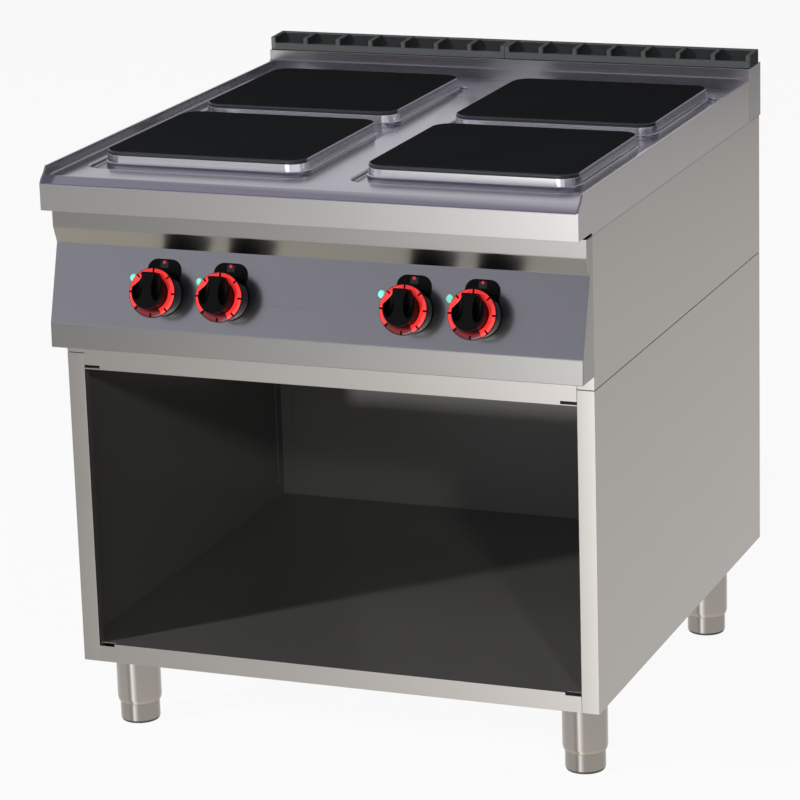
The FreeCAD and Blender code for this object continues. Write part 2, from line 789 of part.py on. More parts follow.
def worktop():
    """Worktop: a pressed sheet with raised rims, two wells and an opening for each plate."""
    body = new_body("worktop")
    back = worktop_back
    slope_rise = rim_top - nose_z
    slope = [(size.rim_run * run - size.lip_reach, nose_z + slope_rise * rise)
             for run, rise in RIM_SLOPE_SHARES]
    outside = sketch_on(body, "YZ_Plane")
    polygon(outside, [
        (-size.lip_reach, lip_low),
        (-size.lip_reach, nose_z),
        *slope,
        (back, rim_top),
        (back, upper_top),
        (zero, upper_top),
        (zero, lip_low),
    ])
    pad(body, outside, size.width, both=True)

    # the higher rim along the back
    back_rim = sketch_on(body, "XY_Plane", deck_z)
    rectangle(back_rim, -half_width, half_width, back - size.rim_thick, back)
    pad(body, back_rim, size.rim_rise + size.back_rim_rise)

    # the deck and the ramp down to the nose, between the rims
    ramp_end = size.ramp_run - size.lip_reach
    clear = rim_top + size.overrun
    deck = sketch_on(body, "YZ_Plane")
    polygon(deck, [
        (-size.lip_reach, nose_z),
        (ramp_end, deck_z),
        (back - size.rim_thick, deck_z),
        (back - size.rim_thick, clear),
        (-size.lip_reach - size.overrun, clear),
        (-size.lip_reach - size.overrun, nose_z),
    ])
    pocket(body, deck, (half_width - size.rim_thick) * 2, both=True)

    # the hollow below, over the fold that closes the lip's underside
    front = size.sheet - size.lip_reach
    fold_end = size.lip_return - size.lip_reach
    under = upper_top - size.overrun
    hollow = sketch_on(body, "YZ_Plane")
    polygon(hollow, [
        (front, lip_low + size.sheet),
        (front, nose_z - size.sheet),
        (ramp_end, deck_z - size.sheet),
        (back - size.sheet, deck_z - size.sheet),
        (back - size.sheet, under),
        (fold_end, under),
        (fold_end, lip_low + size.sheet),
    ])
    pocket(body, hollow, inner_side * 2, both=True)

    # the wells are pressed down, so sheet is added below before they are cut
    wells = ((-well_outer, -size.well_inner), (size.well_inner, well_outer))
    pans = sketch_on(body, "XY_Plane", well_floor - size.sheet)
    for left, right in wells:
        rounded_rectangle(pans, left - size.sheet, right + size.sheet,
                          size.well_front - size.sheet, well_end + size.sheet,
                          size.well_corner + size.sheet)
    pad(body, pans, size.well_depth + size.sheet / 2)
    pressed = sketch_on(body, "XY_Plane", deck_z)
    for left, right in wells:
        rounded_rectangle(pressed, left, right, size.well_front, well_end, size.well_corner)
    pocket(body, pressed, size.well_depth)

    openings = sketch_on(body, "XY_Plane", well_floor)
    half_across = plate_width / 2 - size.opening_inset
    half_along = plate_depth / 2 - size.opening_inset
    corner = size.plate_corner - size.opening_inset
    for x, y in plate_places.values():
        rounded_rectangle(openings, x - half_across, x + half_across,
                          y - half_along, y + half_along, corner)
    pocket(body, openings, size.sheet * 2)

    side_rim = half_width - size.rim_thick

    def rim_foot(box):
        along = level_at(box, deck_z) and box.YLength > box.XLength
        return along and near(abs(box.Center.x), side_rim.value)

    round_edges(body, size.rim_fillet, rim_foot)

    def nose_edge(box):
        front_edge = near(box.YMin, -size.lip_reach.value) and near(box.YMax, box.YMin)
        return front_edge and level_at(box, nose_z) and box.XLength > half_width.value

    round_edges(body, size.nose_radius, nose_edge)
    return place(body)


def upstand():
    """Flue box along the back: a folded sheet, open below, with seats for two grilles."""
    body = new_body("upstand")
    sketch = sketch_on(body, "XY_Plane", upper_top)
    rectangle(sketch, -half_width, half_width, upstand_front, upstand_back)
    pad(body, sketch, upstand_top - upper_top)
    hollow = sketch_on(body, "XY_Plane", upper_top)
    rectangle(hollow, -inner_side, inner_side,
              upstand_front + size.sheet, upstand_back - size.sheet)
    pocket(body, hollow, upstand_top - upper_top - size.sheet, reverse=True)
    vents = sketch_on(body, "XY_Plane", upstand_top)
    low = upstand_front + size.grille_inset + size.grille_seat
    high = upstand_front + size.grille_inset + size.grille_depth - size.grille_seat
    far = half_width - size.grille_seat
    rectangle(vents, size.grille_seat, far, low, high)
    rectangle(vents, -far, -size.grille_seat, low, high)
    pocket(body, vents, size.sheet * 2)
    return place(body)


def vent_grille(name, side):
    """Cast vent grille: seven pockets with sloping floors between posts, each with a slot."""
    body = new_body(name)
    length = half_width - size.loose_gap
    front = upstand_front + size.grille_inset
    back = front + size.grille_depth
    floor_front = front + size.grille_bar
    floor_back = back - size.grille_bar
    sill = upstand_top + size.grille_sill
    above = upstand_top + size.grille_back + size.overrun
    pitch = (length - size.grille_post) / POCKET_COUNT
    pocket_width = pitch - size.grille_post
    profile = sketch_on(body, "YZ_Plane")
    polygon(profile, [
        (front, upstand_top),
        (front, upstand_top + size.grille_front),
        (back, upstand_top + size.grille_back),
        (back, upstand_top),
    ])
    pad(body, profile, length)
    cut_profile = sketch_on(body, "YZ_Plane", size.grille_post)
    polygon(cut_profile, [
        (front - size.overrun, sill),
        (floor_front, sill),
        (floor_front, upstand_top + size.grille_floor),
        (floor_back, upstand_top + size.grille_front),
        (floor_back, above),
        (front - size.overrun, above),
    ])
    window = pocket(body, cut_profile, pocket_width, reverse=True)
    slot_sketch = sketch_on(body, "XY_Plane", upstand_top)
    slot_end = floor_front + size.grille_slot
    rectangle(slot_sketch, size.grille_post, size.grille_post + pocket_width,
              floor_front + size.grille_floor, slot_end)
    slot = pocket(body, slot_sketch, size.grille_back, reverse=True)
    row = body.newObject("PartDesign::LinearPattern", name + "_row")
    row.Originals = [window, slot]
    row.Direction = (slot_sketch, ["H_Axis"])
    bind(row, "Length", pitch * (POCKET_COUNT - 1))
    row.Occurrences = POCKET_COUNT
    body.Tip = row
    shift = size.loose_gap / 2 if side > 0 else -length - size.loose_gap / 2
    return place(body, shift)


def plate_outline(sketch, inset):
    """The outline of a hot plate, drawn in by an inset."""
    across = plate_width / 2 - inset
    along = plate_depth / 2 - inset
    rounded_rectangle(sketch, -across, across, -along, along, size.plate_corner - inset)


def body_outline(sketch, inset):
    """The outline of a hot plate's body, drawn in by an inset."""
    across = plate_width / 2 - size.body_inset - inset
    along = plate_depth / 2 - size.body_inset - inset
    cut_rectangle(sketch, -across, across, -along, along, size.body_corner)


def hot_plate(name, x, y):
    """Cast iron hot plate: a rim over a hollow body, with the clamping stud in its boss."""
    body = new_body(name)
    rim = sketch_on(body, "XY_Plane", plate_seat)
    plate_outline(rim, zero)
    pad(body, rim, size.plate_rim)
    bevel_edges(body, size.plate_bevel, lambda box: level_at(box, plate_top))
    casting = sketch_on(body, "XY_Plane", plate_underside)
    body_outline(casting, zero)
    pad(body, casting, plate_seat - plate_underside)
    hollow = sketch_on(body, "XY_Plane", plate_underside)
    body_outline(hollow, size.body_wall)
    half_boss = size.boss_width / 2
    rectangle(hollow, -half_boss, half_boss, -half_boss, half_boss)
    pocket(body, hollow, size.body_hollow, reverse=True)
    stud = sketch_on(body, "XY_Plane", plate_underside)
    circle(stud, zero, zero, size.stud_radius)
    pad(body, stud, plate_underside - stud_low, reverse=True)
    return place(body, x, y)


def plate_trim():
    """Stainless trim round a hot plate: an upright skirt on a foot that stands out."""
    body = new_body("plate_trim_pattern")
    foot_sketch = sketch_on(body, "XY_Plane", well_floor)
    plate_outline(foot_sketch, -size.trim_step)
    pad(body, foot_sketch, size.trim_foot_height)
    skirt = sketch_on(body, "XY_Plane", well_floor)
    plate_outline(skirt, zero)
    pad(body, skirt, plate_seat - well_floor)
    inside = sketch_on(body, "XY_Plane", plate_seat)
    plate_outline(inside, size.trim_thick)
    pocket(body, inside, plate_seat - well_floor + size.overrun)
    return body


def plate_cover():
    """Dish that closes a hot plate from below, round its stud."""
    body = new_body("plate_cover_pattern")
    outside = sketch_on(body, "XY_Plane", cover_low)
    body_outline(outside, zero)
    pad(body, outside, size.cover_depth)
    inside = sketch_on(body, "XY_Plane", plate_underside)
    body_outline(inside, size.cover_thick)
    pocket(body, inside, size.cover_depth - size.cover_thick)
    hole = sketch_on(body, "XY_Plane", cover_low)
    half_hole = size.stud_radius + size.push_gap
    rectangle(hole, -half_hole, half_hole, -half_hole, half_hole)
    pocket(body, hole, size.cover_depth, reverse=True)
    return body


def plate_terminal():
    """Terminal block under a plate's dish, with a trough for its wires."""
    body = new_body("plate_terminal_pattern")
    sketch = sketch_on(body, "XY_Plane", cover_low)
    half_length = size.terminal_length / 2
    near_side = size.terminal_offset - size.terminal_width / 2
    far_side = size.terminal_offset + size.terminal_width / 2
    rectangle(sketch, -half_length, half_length, near_side, far_side)
    pad(body, sketch, size.terminal_height, reverse=True)
    trough = sketch_on(body, "XY_Plane", cover_low - size.terminal_height)
    third = size.terminal_width / 3
    rectangle(trough, -half_length, half_length, near_side + third, far_side - third)
    pocket(body, trough, size.terminal_height / 3, reverse=True)
    return body


def plate_clamp_bar():
    """Bar across a plate's opening: its ends bear under the well, the stud draws it up."""
    body = new_body("plate_clamp_bar_pattern")
    reach = plate_width / 2 - size.opening_inset + size.bar_reach
    inner = reach - size.bar_thick
    sketch = sketch_on(body, "XZ_Plane")
    polygon(sketch, [
        (-reach, bar_low),
        (reach, bar_low),
        (reach, bar_top),
        (inner, bar_top),
        (inner, bar_low + size.bar_thick),
        (-inner, bar_low + size.bar_thick),
        (-inner, bar_top),
        (-reach, bar_top),
    ])
    pad(body, sketch, size.bar_width, both=True)
    hole = sketch_on(body, "XY_Plane", bar_low)
    half_hole = size.stud_radius + size.push_gap
    rectangle(hole, -half_hole, half_hole, -half_hole, half_hole)
    pocket(body, hole, size.bar_thick * 2, reverse=True)
    return body


def plate_nut():
    """Nut on a clamping stud, under the bar."""
    body = new_body("plate_nut_pattern")
    sketch = sketch_on(body, "XY_Plane", bar_low)
    hexagon(sketch, zero, zero, size.nut_radius)
    circle(sketch, zero, zero, size.stud_radius + size.running_gap)
    pad(body, sketch, size.nut_height, reverse=True)
    return body


def bezel():
    """Bezel behind a knob: a disc with a tab above it for the index mark."""
    body = new_body("bezel_pattern")
    disc = sketch_on(body, "XY_Plane")
    circle(disc, zero, zero, size.bezel_radius)
    pad(body, disc, size.bezel_thick)
    tab = sketch_on(body, "XY_Plane")
    half_tab = size.bezel_tab_width / 2
    rounded_rectangle(tab, -half_tab, half_tab, zero, size.bezel_tab_rise, size.bezel_corner)
    pad(body, tab, size.bezel_thick)
    hole = sketch_on(body, "XY_Plane")
    circle(hole, zero, zero, size.bezel_hole)
    pocket(body, hole, size.bezel_thick * 2, both=True)
    return body


def knob(name):
    """Knob: a skirt and a core, cut away on both sides to leave a pointing grip."""
    body = new_body(name)
    low = size.bezel_thick + size.knob_lift
    bore_top = size.shaft_out + size.shaft_end_gap
    bore = size.shaft_radius + size.running_gap
    revolve(body, [
        (zero, size.knob_front),
        (size.knob_front_radius - size.knob_bevel, size.knob_front),
        (size.knob_front_radius, size.knob_front - size.knob_bevel),
        (size.knob_core_radius, size.ring_back + size.ring_thick),
        (size.knob_core_radius, size.ring_back),
        (size.knob_skirt_radius, size.ring_back),
        (size.knob_skirt_radius, low),
        (bore, low),
        (bore, bore_top),
        (zero, bore_top),
    ])
    nose = sketch_on(body, "XY_Plane", size.knob_front)
    half_nose = size.pointer_width / 2
    rectangle(nose, -half_nose, half_nose, zero, size.pointer_reach)
    nose_depth = size.knob_front - size.ring_back - size.ring_thick - size.pointer_gap
    pad(body, nose, nose_depth, reverse=True)
    hollows = sketch_on(body, "XZ_Plane")
    turn = FreeCAD.Rotation(Vector(1, 0, 0), -size.grip_hollow_slope.value)
    hollows.AttachmentOffset = FreeCAD.Placement(Vector(0, 0, 0), turn)
    bind(hollows, "AttachmentOffset.Base.y", size.knob_front)
    bind(hollows, "AttachmentOffset.Base.z", -size.grip_hollow_rise)
    for side in (-1, 1):
        circle(hollows, size.grip_hollow_side * side, zero, size.grip_hollow_radius)
    pocket(body, hollows, size.knob_front * 2, both=True)
    return body


def dial_ring(name):
    """Scale ring, pushed over the knob's core onto its skirt."""
    body = new_body(name)
    bore = size.knob_core_radius + size.push_gap
    revolve(body, [
        (bore, size.ring_back),
        (size.ring_radius, size.ring_back),
        (size.ring_radius, size.ring_back + size.ring_thick),
        (bore, size.ring_back + size.ring_thick),
    ])
    return body


def switch_shaft(name):
    """Shaft of a switch, from inside it into the knob's hub."""
    body = new_body(name)
    shaft = sketch_on(body, "XY_Plane", -size.shaft_in)
    circle(shaft, zero, zero, size.shaft_radius)
    pad(body, shaft, size.shaft_in + size.shaft_out)
    return body


def switch_body():
    """Rotary switch behind the panel, with the bush that its shaft turns in."""
    body = new_body("switch_body_pattern")
    box = sketch_on(body, "XY_Plane", -size.sheet)
    half_size = size.switch_size / 2
    rectangle(box, -half_size, half_size, -half_size, half_size)
    pad(body, box, size.switch_depth, reverse=True)
    bush = sketch_on(body, "XY_Plane", -size.sheet)
    circle(bush, zero, zero, size.bush_radius)
    pad(body, bush, size.sheet + size.bush_out)
    bore = sketch_on(body, "XY_Plane", size.bush_out)
    circle(bore, zero, zero, size.shaft_radius + size.running_gap)
    pocket(body, bore, size.bush_out + size.shaft_in + size.loose_gap)
    return body


def pilot_lamp():
    """Pilot lamp: a domed lens on a stem through the panel."""
    body = new_body("pilot_lamp_pattern")
    revolve(body, [
        (zero, -size.lamp_stem),
        (size.lamp_stem_radius, -size.lamp_stem),
        (size.lamp_stem_radius, zero),
        (size.lamp_radius, zero),
        (size.lamp_crown, size.lamp_out),
        (zero, size.lamp_out),
    ])
    return body


def mains_terminal_block():
    """Mains terminal block on the bottom panel, with a trough for the conductors."""
    body = new_body("mains_terminal_block")
    sketch = sketch_on(body, "XY_Plane", upper_low)
    half_length = size.block_length / 2
    back = size.side_depth - size.block_setback + size.block_width
    front = back - size.block_width
    rectangle(sketch, service_side - half_length, service_side + half_length,
              front, back)
    pad(body, sketch, size.block_height)
    trough = sketch_on(body, "XY_Plane", upper_low + size.block_height)
    third = size.block_width / 3
    rectangle(trough, service_side - half_length, service_side + half_length,
              front + third, back - third)
    pocket(body, trough, size.block_height / 3)
    return place(body)


def cable_gland():
    """Cable gland through the bottom panel, pointing down behind the bay's back panel."""
    body = new_body("cable_gland")
    collar = sketch_on(body, "XY_Plane", base_top)
    hexagon(collar, zero, zero, size.gland_hex)
    pad(body, collar, size.gland_collar, reverse=True)
    thread = sketch_on(body, "XY_Plane", base_top)
    circle(thread, zero, zero, size.gland_thread)
    pad(body, thread, size.seam_gap + size.gland_nut)
    nut = sketch_on(body, "XY_Plane", upper_low)
    hexagon(nut, zero, zero, size.gland_hex)
    pad(body, nut, size.gland_nut)
    cap = sketch_on(body, "XY_Plane", base_top - size.gland_collar)
    hexagon(cap, zero, zero, size.gland_tip_radius)
    pad(body, cap, size.gland_tip, reverse=True)
    bore = sketch_on(body, "XY_Plane", base_top)
    circle(bore, zero, zero, size.gland_bore)
    pocket(body, bore, (size.gland_collar + size.gland_tip + size.gland_nut) * 3, both=True)
    return place(body, service_side, size.side_depth - size.gland_setback)


def earth_stud():
    """Earth stud with its collar, on the outside of the bay's back panel."""
    body = new_body("earth_stud")
    revolve(body, [
        (zero, zero),
        (size.earth_collar, zero),
        (size.earth_collar, size.earth_collar_thick),
        (size.earth_radius, size.earth_collar_thick),
        (size.earth_radius, size.earth_length),
        (zero, size.earth_length),
    ])
    back = bay_depth + size.sheet
    return place(body, -service_side, back, base_top - size.earth_drop, -RIGHT_ANGLE)


# Corners of the cooker and the plates over them
leg_x = half_width - size.leg_inset
leg_rows = {"front": size.leg_front, "back": bay_depth - size.leg_back}
plate_rows = {"front": plate_front, "back": plate_front + plate_pitch}
sides = {"left": -1, "right": 1}
plate_places = {f"{row}_{side}": (plate_centre * sign, plate_rows[row])
                for row in plate_rows for side, sign in sides.items()}
face_lean = RIGHT_ANGLE - size.face_tilt.value

nodes = []

for row, leg_y in leg_rows.items():
    for side, sign in sides.items():
        nodes.append(foot(f"foot_{row}_{side}", leg_x * sign, leg_y))
over_feet = [(leg_x * sign, leg_y, zero) for leg_y in leg_rows.values() for sign in sides.values()]
nodes.append(copies("leg_tubes", leg_tube(), over_feet))
nodes.append(leg_plates())

for side, sign in sides.items():
    nodes.append(side_panel(f"base_side_{side}", sign, base_low, base_top))
    nodes.append(side_panel(f"upper_side_{side}", sign, upper_low, upper_top))
nodes.append(base_floor())
nodes.append(base_top_rail())
nodes.append(base_back_panel())
nodes.append(base_corner_strips())
nodes.append(upper_bottom_panel())
nodes.append(upper_back_panel())
nodes.append(heat_shield())
nodes.append(control_panel())
nodes.append(worktop())
nodes.append(upstand())
for side, sign in sides.items():
    nodes.append(vent_grille(f"vent_grille_{side}", sign))

for corner, (plate_x, plate_y) in plate_places.items():
    nodes.append(hot_plate(f"hot_plate_{corner}", plate_x, plate_y))
under_plates = [(plate_x, plate_y, zero) for plate_x, plate_y in plate_places.values()]
nodes.append(copies("plate_trims", plate_trim(), under_plates))
nodes.append(copies("plate_covers", plate_cover(), under_plates))
nodes.append(copies("plate_terminals", plate_terminal(), under_plates))
nodes.append(copies("plate_clamp_bars", plate_clamp_bar(), under_plates))
nodes.append(copies("plate_nuts", plate_nut(), under_plates))

for number, knob_x in enumerate(knob_places, start=1):
    nodes.append(place(knob(f"knob_{number}"), knob_x, axis_y, axis_z, face_lean))
    nodes.append(place(dial_ring(f"dial_ring_{number}"), knob_x, axis_y, axis_z, face_lean))
    nodes.append(place(switch_shaft(f"switch_shaft_{number}"), knob_x, axis_y, axis_z, face_lean))
behind_knobs = [(knob_x, axis_y, axis_z) for knob_x in knob_places]
lamp_y = axis_y + size.lamp_rise * face_sine
lamp_z = axis_z + size.lamp_rise * face_cosine
lamp_places = [(knob_x - size.lamp_side, lamp_y, lamp_z) for knob_x in knob_places]
nodes.append(copies("bezels", bezel(), behind_knobs, face_lean))
nodes.append(copies("switch_bodies", switch_body(), behind_knobs, face_lean))
nodes.append(copies("pilot_lamps", pilot_lamp(), lamp_places, face_lean))

nodes.append(mains_terminal_block())
nodes.append(cable_gland())
nodes.append(earth_stud())

document.recompute()
for item in document.Objects:
    if "Invalid" in item.State or "Error" in item.State:
        raise RuntimeError(f"{item.Label} did not rebuild")
os.makedirs("parts", exist_ok=True)
for node in nodes:
    if node.Shape.isNull() or not node.Shape.isValid():
        raise RuntimeError(f"{node.Label} has no sound shape")
for node in nodes:
    node.Shape.exportStep(os.path.join("parts", node.Label + ".step"))
    box = node.Shape.BoundBox
    print(f"{node.Label}: {len(node.Shape.Solids)} solids, "
          f"x {box.XMin:.1f} to {box.XMax:.1f}, y {box.YMin:.1f} to {box.YMax:.1f}, "
          f"z {box.ZMin:.1f} to {box.ZMax:.1f}")
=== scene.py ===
import math

import bpy
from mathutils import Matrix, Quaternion, Vector


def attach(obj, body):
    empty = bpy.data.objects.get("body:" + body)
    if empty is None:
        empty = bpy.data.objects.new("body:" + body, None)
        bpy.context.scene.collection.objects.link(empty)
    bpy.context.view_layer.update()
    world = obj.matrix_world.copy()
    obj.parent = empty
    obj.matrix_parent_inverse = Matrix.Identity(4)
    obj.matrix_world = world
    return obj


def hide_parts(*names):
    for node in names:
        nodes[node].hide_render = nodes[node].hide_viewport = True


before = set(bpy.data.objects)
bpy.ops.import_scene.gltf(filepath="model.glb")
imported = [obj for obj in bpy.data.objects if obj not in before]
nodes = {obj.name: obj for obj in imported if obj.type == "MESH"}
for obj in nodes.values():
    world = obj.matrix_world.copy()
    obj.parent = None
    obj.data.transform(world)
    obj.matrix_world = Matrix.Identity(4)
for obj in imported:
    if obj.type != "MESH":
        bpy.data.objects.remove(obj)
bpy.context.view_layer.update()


# ------------------------------------------------------------------------------------ feet
# Four adjustable feet: a drawn stainless sleeve round a threaded stem, with a dark nylon
# glide pressed into its sole. The stem screws up into the nut plate inside the leg.

LEG_PLACES = {
    "front_left": (-0.3515, -0.296788),
    "front_right": (0.3515, -0.296788),
    "back_left": (-0.3515, 0.315212),
    "back_right": (0.3515, 0.315212),
}
GLIDE_RINGS = ((0.0262, 0.0), (0.0277, 0.0006), (0.0286, 0.0022), (0.0288, 0.0042))
SLEEVE_RINGS = (
    (0.0284, 0.0036),
    (0.0295, 0.0044),
    (0.0295, 0.0298),
    (0.0301, 0.0306),
    (0.0301, 0.0316),
    (0.0295, 0.0324),
    (0.0295, 0.0645),
    (0.0282, 0.0660),
    (0.0083, 0.0660),
    (0.0080, 0.0663),
    (0.0080, 0.1055),
    (0.0072, 0.1063),
)
FOOT_COLOUR = (0.30, 0.285, 0.27, 1)
GLIDE_COLOUR = (0.035, 0.035, 0.036, 1)
MERGE_GAP = 0.00001
ROUND_SIDES = 96


class Wire:
    """A socket of a finish. Sums on it add Math nodes, and add() puts in any other node."""

    def __init__(self, tree, socket=None):
        self.tree = tree
        self.socket = socket

    def add(self, kind, settings, inputs, output=0):
        """Adds a node: its settings first, then the values or links of its sockets."""
        node = self.tree.nodes.new(kind)
        for name, value in settings.items():
            setattr(node, name, value)
        for name, value in inputs.items():
            if isinstance(value, Wire):
                self.tree.links.new(value.socket, node.inputs[name])
            else:
                node.inputs[name].default_value = value
        return None if output is None else Wire(self.tree, node.outputs[output])

    def math(self, operation, first, second):
        return self.add("ShaderNodeMath", {"operation": operation}, {0: first, 1: second})

    def __add__(self, other):
        return self.math("ADD", self, other)

    def __radd__(self, other):
        return self.math("ADD", other, self)

    def __sub__(self, other):
        return self.math("SUBTRACT", self, other)

    def __rsub__(self, other):
        return self.math("SUBTRACT", other, self)

    def __mul__(self, other):
        return self.math("MULTIPLY", self, other)

    def __gt__(self, level):
        return self.math("GREATER_THAN", self, level)

    def __lt__(self, level):
        return self.math("LESS_THAN", self, level)

    def noise(self, scale, detail=2.0, rough=0.5):
        """Even noise from 0 to 1; scale is a number, or three for a stretched grain."""
        place = self
        if isinstance(scale, tuple):
            place = self.add("ShaderNodeMapping", {}, {"Vector": self, "Scale": scale})
            scale = 1.0
        inputs = {"Vector": place, "Scale": scale, "Detail": detail, "Roughness": rough}
        return self.add("ShaderNodeTexNoise", {}, inputs, "Fac")

    def between(self, low, high):
        """0 where this is under low, 1 where it is over high, and smooth in between."""
        settings = {"interpolation_type": "SMOOTHSTEP"}
        inputs = {"Value": self, "From Min": low, "From Max": high}
        return self.add("ShaderNodeMapRange", settings, inputs, "Result")

    def within(self, low, rise, fall, high):
        """1 from rise to fall, and smoothly down to 0 at low and at high."""
        return self.between(low, rise) * (1 - self.between(fall, high))

    def tint(self, first, second):
        """The first colour where this is 0, the second where it is 1."""
        inputs = {0: self, 6: first, 7: second}
        return self.add("ShaderNodeMix", {"data_type": "RGBA"}, inputs, 2)

    def size(self):
        """This number without its sign."""
        return self.add("ShaderNodeMath", {"operation": "ABSOLUTE"}, {0: self})

    def axes(self):
        """The three numbers of a vector."""
        parts = self.add("ShaderNodeSeparateXYZ", {}, {"Vector": self}, "X")
        outputs = parts.socket.node.outputs
        return [Wire(self.tree, outputs[name]) for name in "XYZ"]

    def bump(self, strength, depth):
        """The normal of a surface that this height raises."""
        inputs = {"Height": self, "Strength": strength, "Distance": depth}
        return self.add("ShaderNodeBump", {}, inputs, "Normal")

    def into(self, shader, name):
        self.tree.links.new(self.socket, shader.inputs[name])


def new_finish(name, **constants):
    """A finish with plain numbers on its shader; returns it, its shader and its places."""
    finish = bpy.data.materials.new(name)
    finish.use_nodes = True
    shader = finish.node_tree.nodes["Principled BSDF"]
    for constant, value in constants.items():
        shader.inputs[constant.replace("_", " ")].default_value = value
    places = Wire(finish.node_tree).add("ShaderNodeTexCoord", {}, {}, "Object")
    return finish, shader, places


BRUSHED = {
    "X": (6.0, 900.0, 900.0),
    "Y": (900.0, 6.0, 900.0),
    "Z": (900.0, 900.0, 6.0),
}


def shades(colour, up, down, lift=0.0):
    """A darker and a paler shade of a colour, by these factors."""
    darker = tuple(channel * down for channel in colour[:3]) + (1,)
    paler = tuple(min(channel * up + lift, 1.0) for channel in colour[:3]) + (1,)
    return darker, paler


def steel(name, colour, along, gloss=0.2):
    """Satin stainless: fine brushing along one axis, and a faint cloud in its gloss."""
    finish, shader, places = new_finish(name, Metallic=1.0)
    grain = places.noise(BRUSHED[along], 3.0, 0.6)
    cloud = places.noise(3.2)
    worn = places.noise(38.0, 3.0)
    shade = grain * 0.3 + cloud * 0.5 + worn * 0.2
    shade.tint(*shades(colour, 1.06, 0.94)).into(shader, "Base Color")
    (gloss - 0.03 + grain * 0.04 + cloud * 0.02).into(shader, "Roughness")
    grain.bump(0.03, 0.00006).into(shader, "Normal")
    return finish, shader, places


def moulded(name, colour, gloss, grain=0.04, **constants):
    """Moulded plastic: a fine grain, and a slight change of shade and gloss over it."""
    finish, shader, places = new_finish(name, **constants)
    speckle = places.noise(900.0)
    cloud = places.noise(24.0)
    shade = speckle * 0.4 + cloud * 0.6
    shade.tint(*shades(colour, 1.12, 0.9, 0.002)).into(shader, "Base Color")
    (gloss - 0.03 + cloud * 0.06).into(shader, "Roughness")
    speckle.bump(grain, 0.0001).into(shader, "Normal")
    return finish


def only(*pieces):
    """Selects these pieces alone, the first of them active."""
    bpy.ops.object.select_all(action="DESELECT")
    for piece in pieces:
        piece.select_set(True)
    bpy.context.view_layer.objects.active = pieces[0]


def turned(name, rings, hollow=False, sides=ROUND_SIDES):
    """A turned piece about Z: a circle drawn on through its rings of radius and height."""
    radius, height = rings[0]
    bpy.ops.object.select_all(action="DESELECT")
    bpy.ops.mesh.primitive_circle_add(vertices=sides, radius=radius, location=(0, 0, height))
    piece = bpy.context.object
    piece.name = name
    bpy.ops.object.mode_set(mode="EDIT")
    bpy.ops.mesh.select_all(action="SELECT")
    if not hollow:
        bpy.ops.mesh.edge_face_add()
    stations = list(rings[1:])
    if hollow:
        stations.append(rings[0])
    for next_radius, next_height in stations:
        rise = (0, 0, next_height - height)
        bpy.ops.mesh.extrude_region_move(TRANSFORM_OT_translate={"value": rise})
        grow = next_radius / radius
        bpy.ops.transform.resize(value=(grow, grow, 1), center_override=(0, 0, next_height))
        radius, height = next_radius, next_height
    bpy.ops.mesh.select_all(action="SELECT")
    bpy.ops.mesh.remove_doubles(threshold=MERGE_GAP)
    bpy.ops.mesh.normals_make_consistent(inside=False)
    bpy.ops.object.mode_set(mode="OBJECT")
    bpy.ops.object.transform_apply(location=True, rotation=True, scale=True)
    return piece


def settled(piece, place=(0, 0, 0), lean=0.0):
    """Moves a piece to its place, leaned back about X, and keeps that place in its mesh."""
    only(piece)
    piece.location = place
    piece.rotation_euler = (lean, 0, 0)
    bpy.ops.object.transform_apply(location=True, rotation=True, scale=True)
    return piece


def spare(piece, name):
    """A copy of a piece, with a mesh of its own."""
    copy = piece.copy()
    copy.data = piece.data.copy()
    copy.name = name
    bpy.context.scene.collection.objects.link(copy)
    return copy


def smoothed(piece, angle=35.0):
    """Smooth shading, with edges sharper than the angle kept."""
    only(piece)
    bpy.ops.object.shade_smooth_by_angle(angle=math.radians(angle))
    return piece


def dressed(piece, finish, body, slot, *replaced):
    """Gives a piece its finish and says which body it rides on and which nodes it replaces."""
    piece.data.materials.clear()
    piece.data.materials.append(finish)
    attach(piece, body)
    if replaced:
        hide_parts(*replaced)
    return piece


foot_steel = steel("foot_steel", FOOT_COLOUR, "Z")[0]
glide_nylon = moulded("glide_nylon", GLIDE_COLOUR, gloss=0.5)
sleeve = smoothed(turned("foot_sleeve", SLEEVE_RINGS))
glide = smoothed(turned("foot_glide", GLIDE_RINGS))
for corner, (x, y) in LEG_PLACES.items():
    body = f"foot_{corner}_body"
    piece = settled(spare(sleeve, f"foot_{corner}_sleeve"), (x, y, 0))
    dressed(piece, foot_steel, body, "foot_steel", f"foot_{corner}")
    piece = settled(spare(glide, f"foot_{corner}_glide"), (x, y, 0))
    dressed(piece, glide_nylon, body, "foot_steel", f"foot_{corner}")
bpy.data.objects.remove(sleeve)
bpy.data.objects.remove(glide)


# ------------------------------------------------------------------------------- leg tubes
# Four satin stainless tubes welded under the base. Each is spun in a little at its lower
# end, where the foot slides out, and holds the nut plate that the foot's stem turns in.

TUBE_RINGS = (
    (0.0310, 0.0320),
    (0.0315, 0.0320),
    (0.0321, 0.0335),
    (0.0330, 0.0385),
    (0.0330, 0.1165),
    (0.0310, 0.1165),
    (0.0310, 0.0743),
    (0.00805, 0.0743),
    (0.00805, 0.0663),
    (0.0310, 0.0663),
)
LEG_COLOUR = (0.33, 0.315, 0.302, 1)

leg_steel = steel("leg_steel", LEG_COLOUR, "Z", gloss=0.19)[0]
tube = smoothed(turned("leg_tube", TUBE_RINGS, hollow=True))
for corner, (x, y) in LEG_PLACES.items():
    piece = settled(spare(tube, f"leg_tube_{corner}"), (x, y, 0))
    dressed(piece, leg_steel, "frame", "leg_steel", "leg_tubes")
bpy.data.objects.remove(tube)
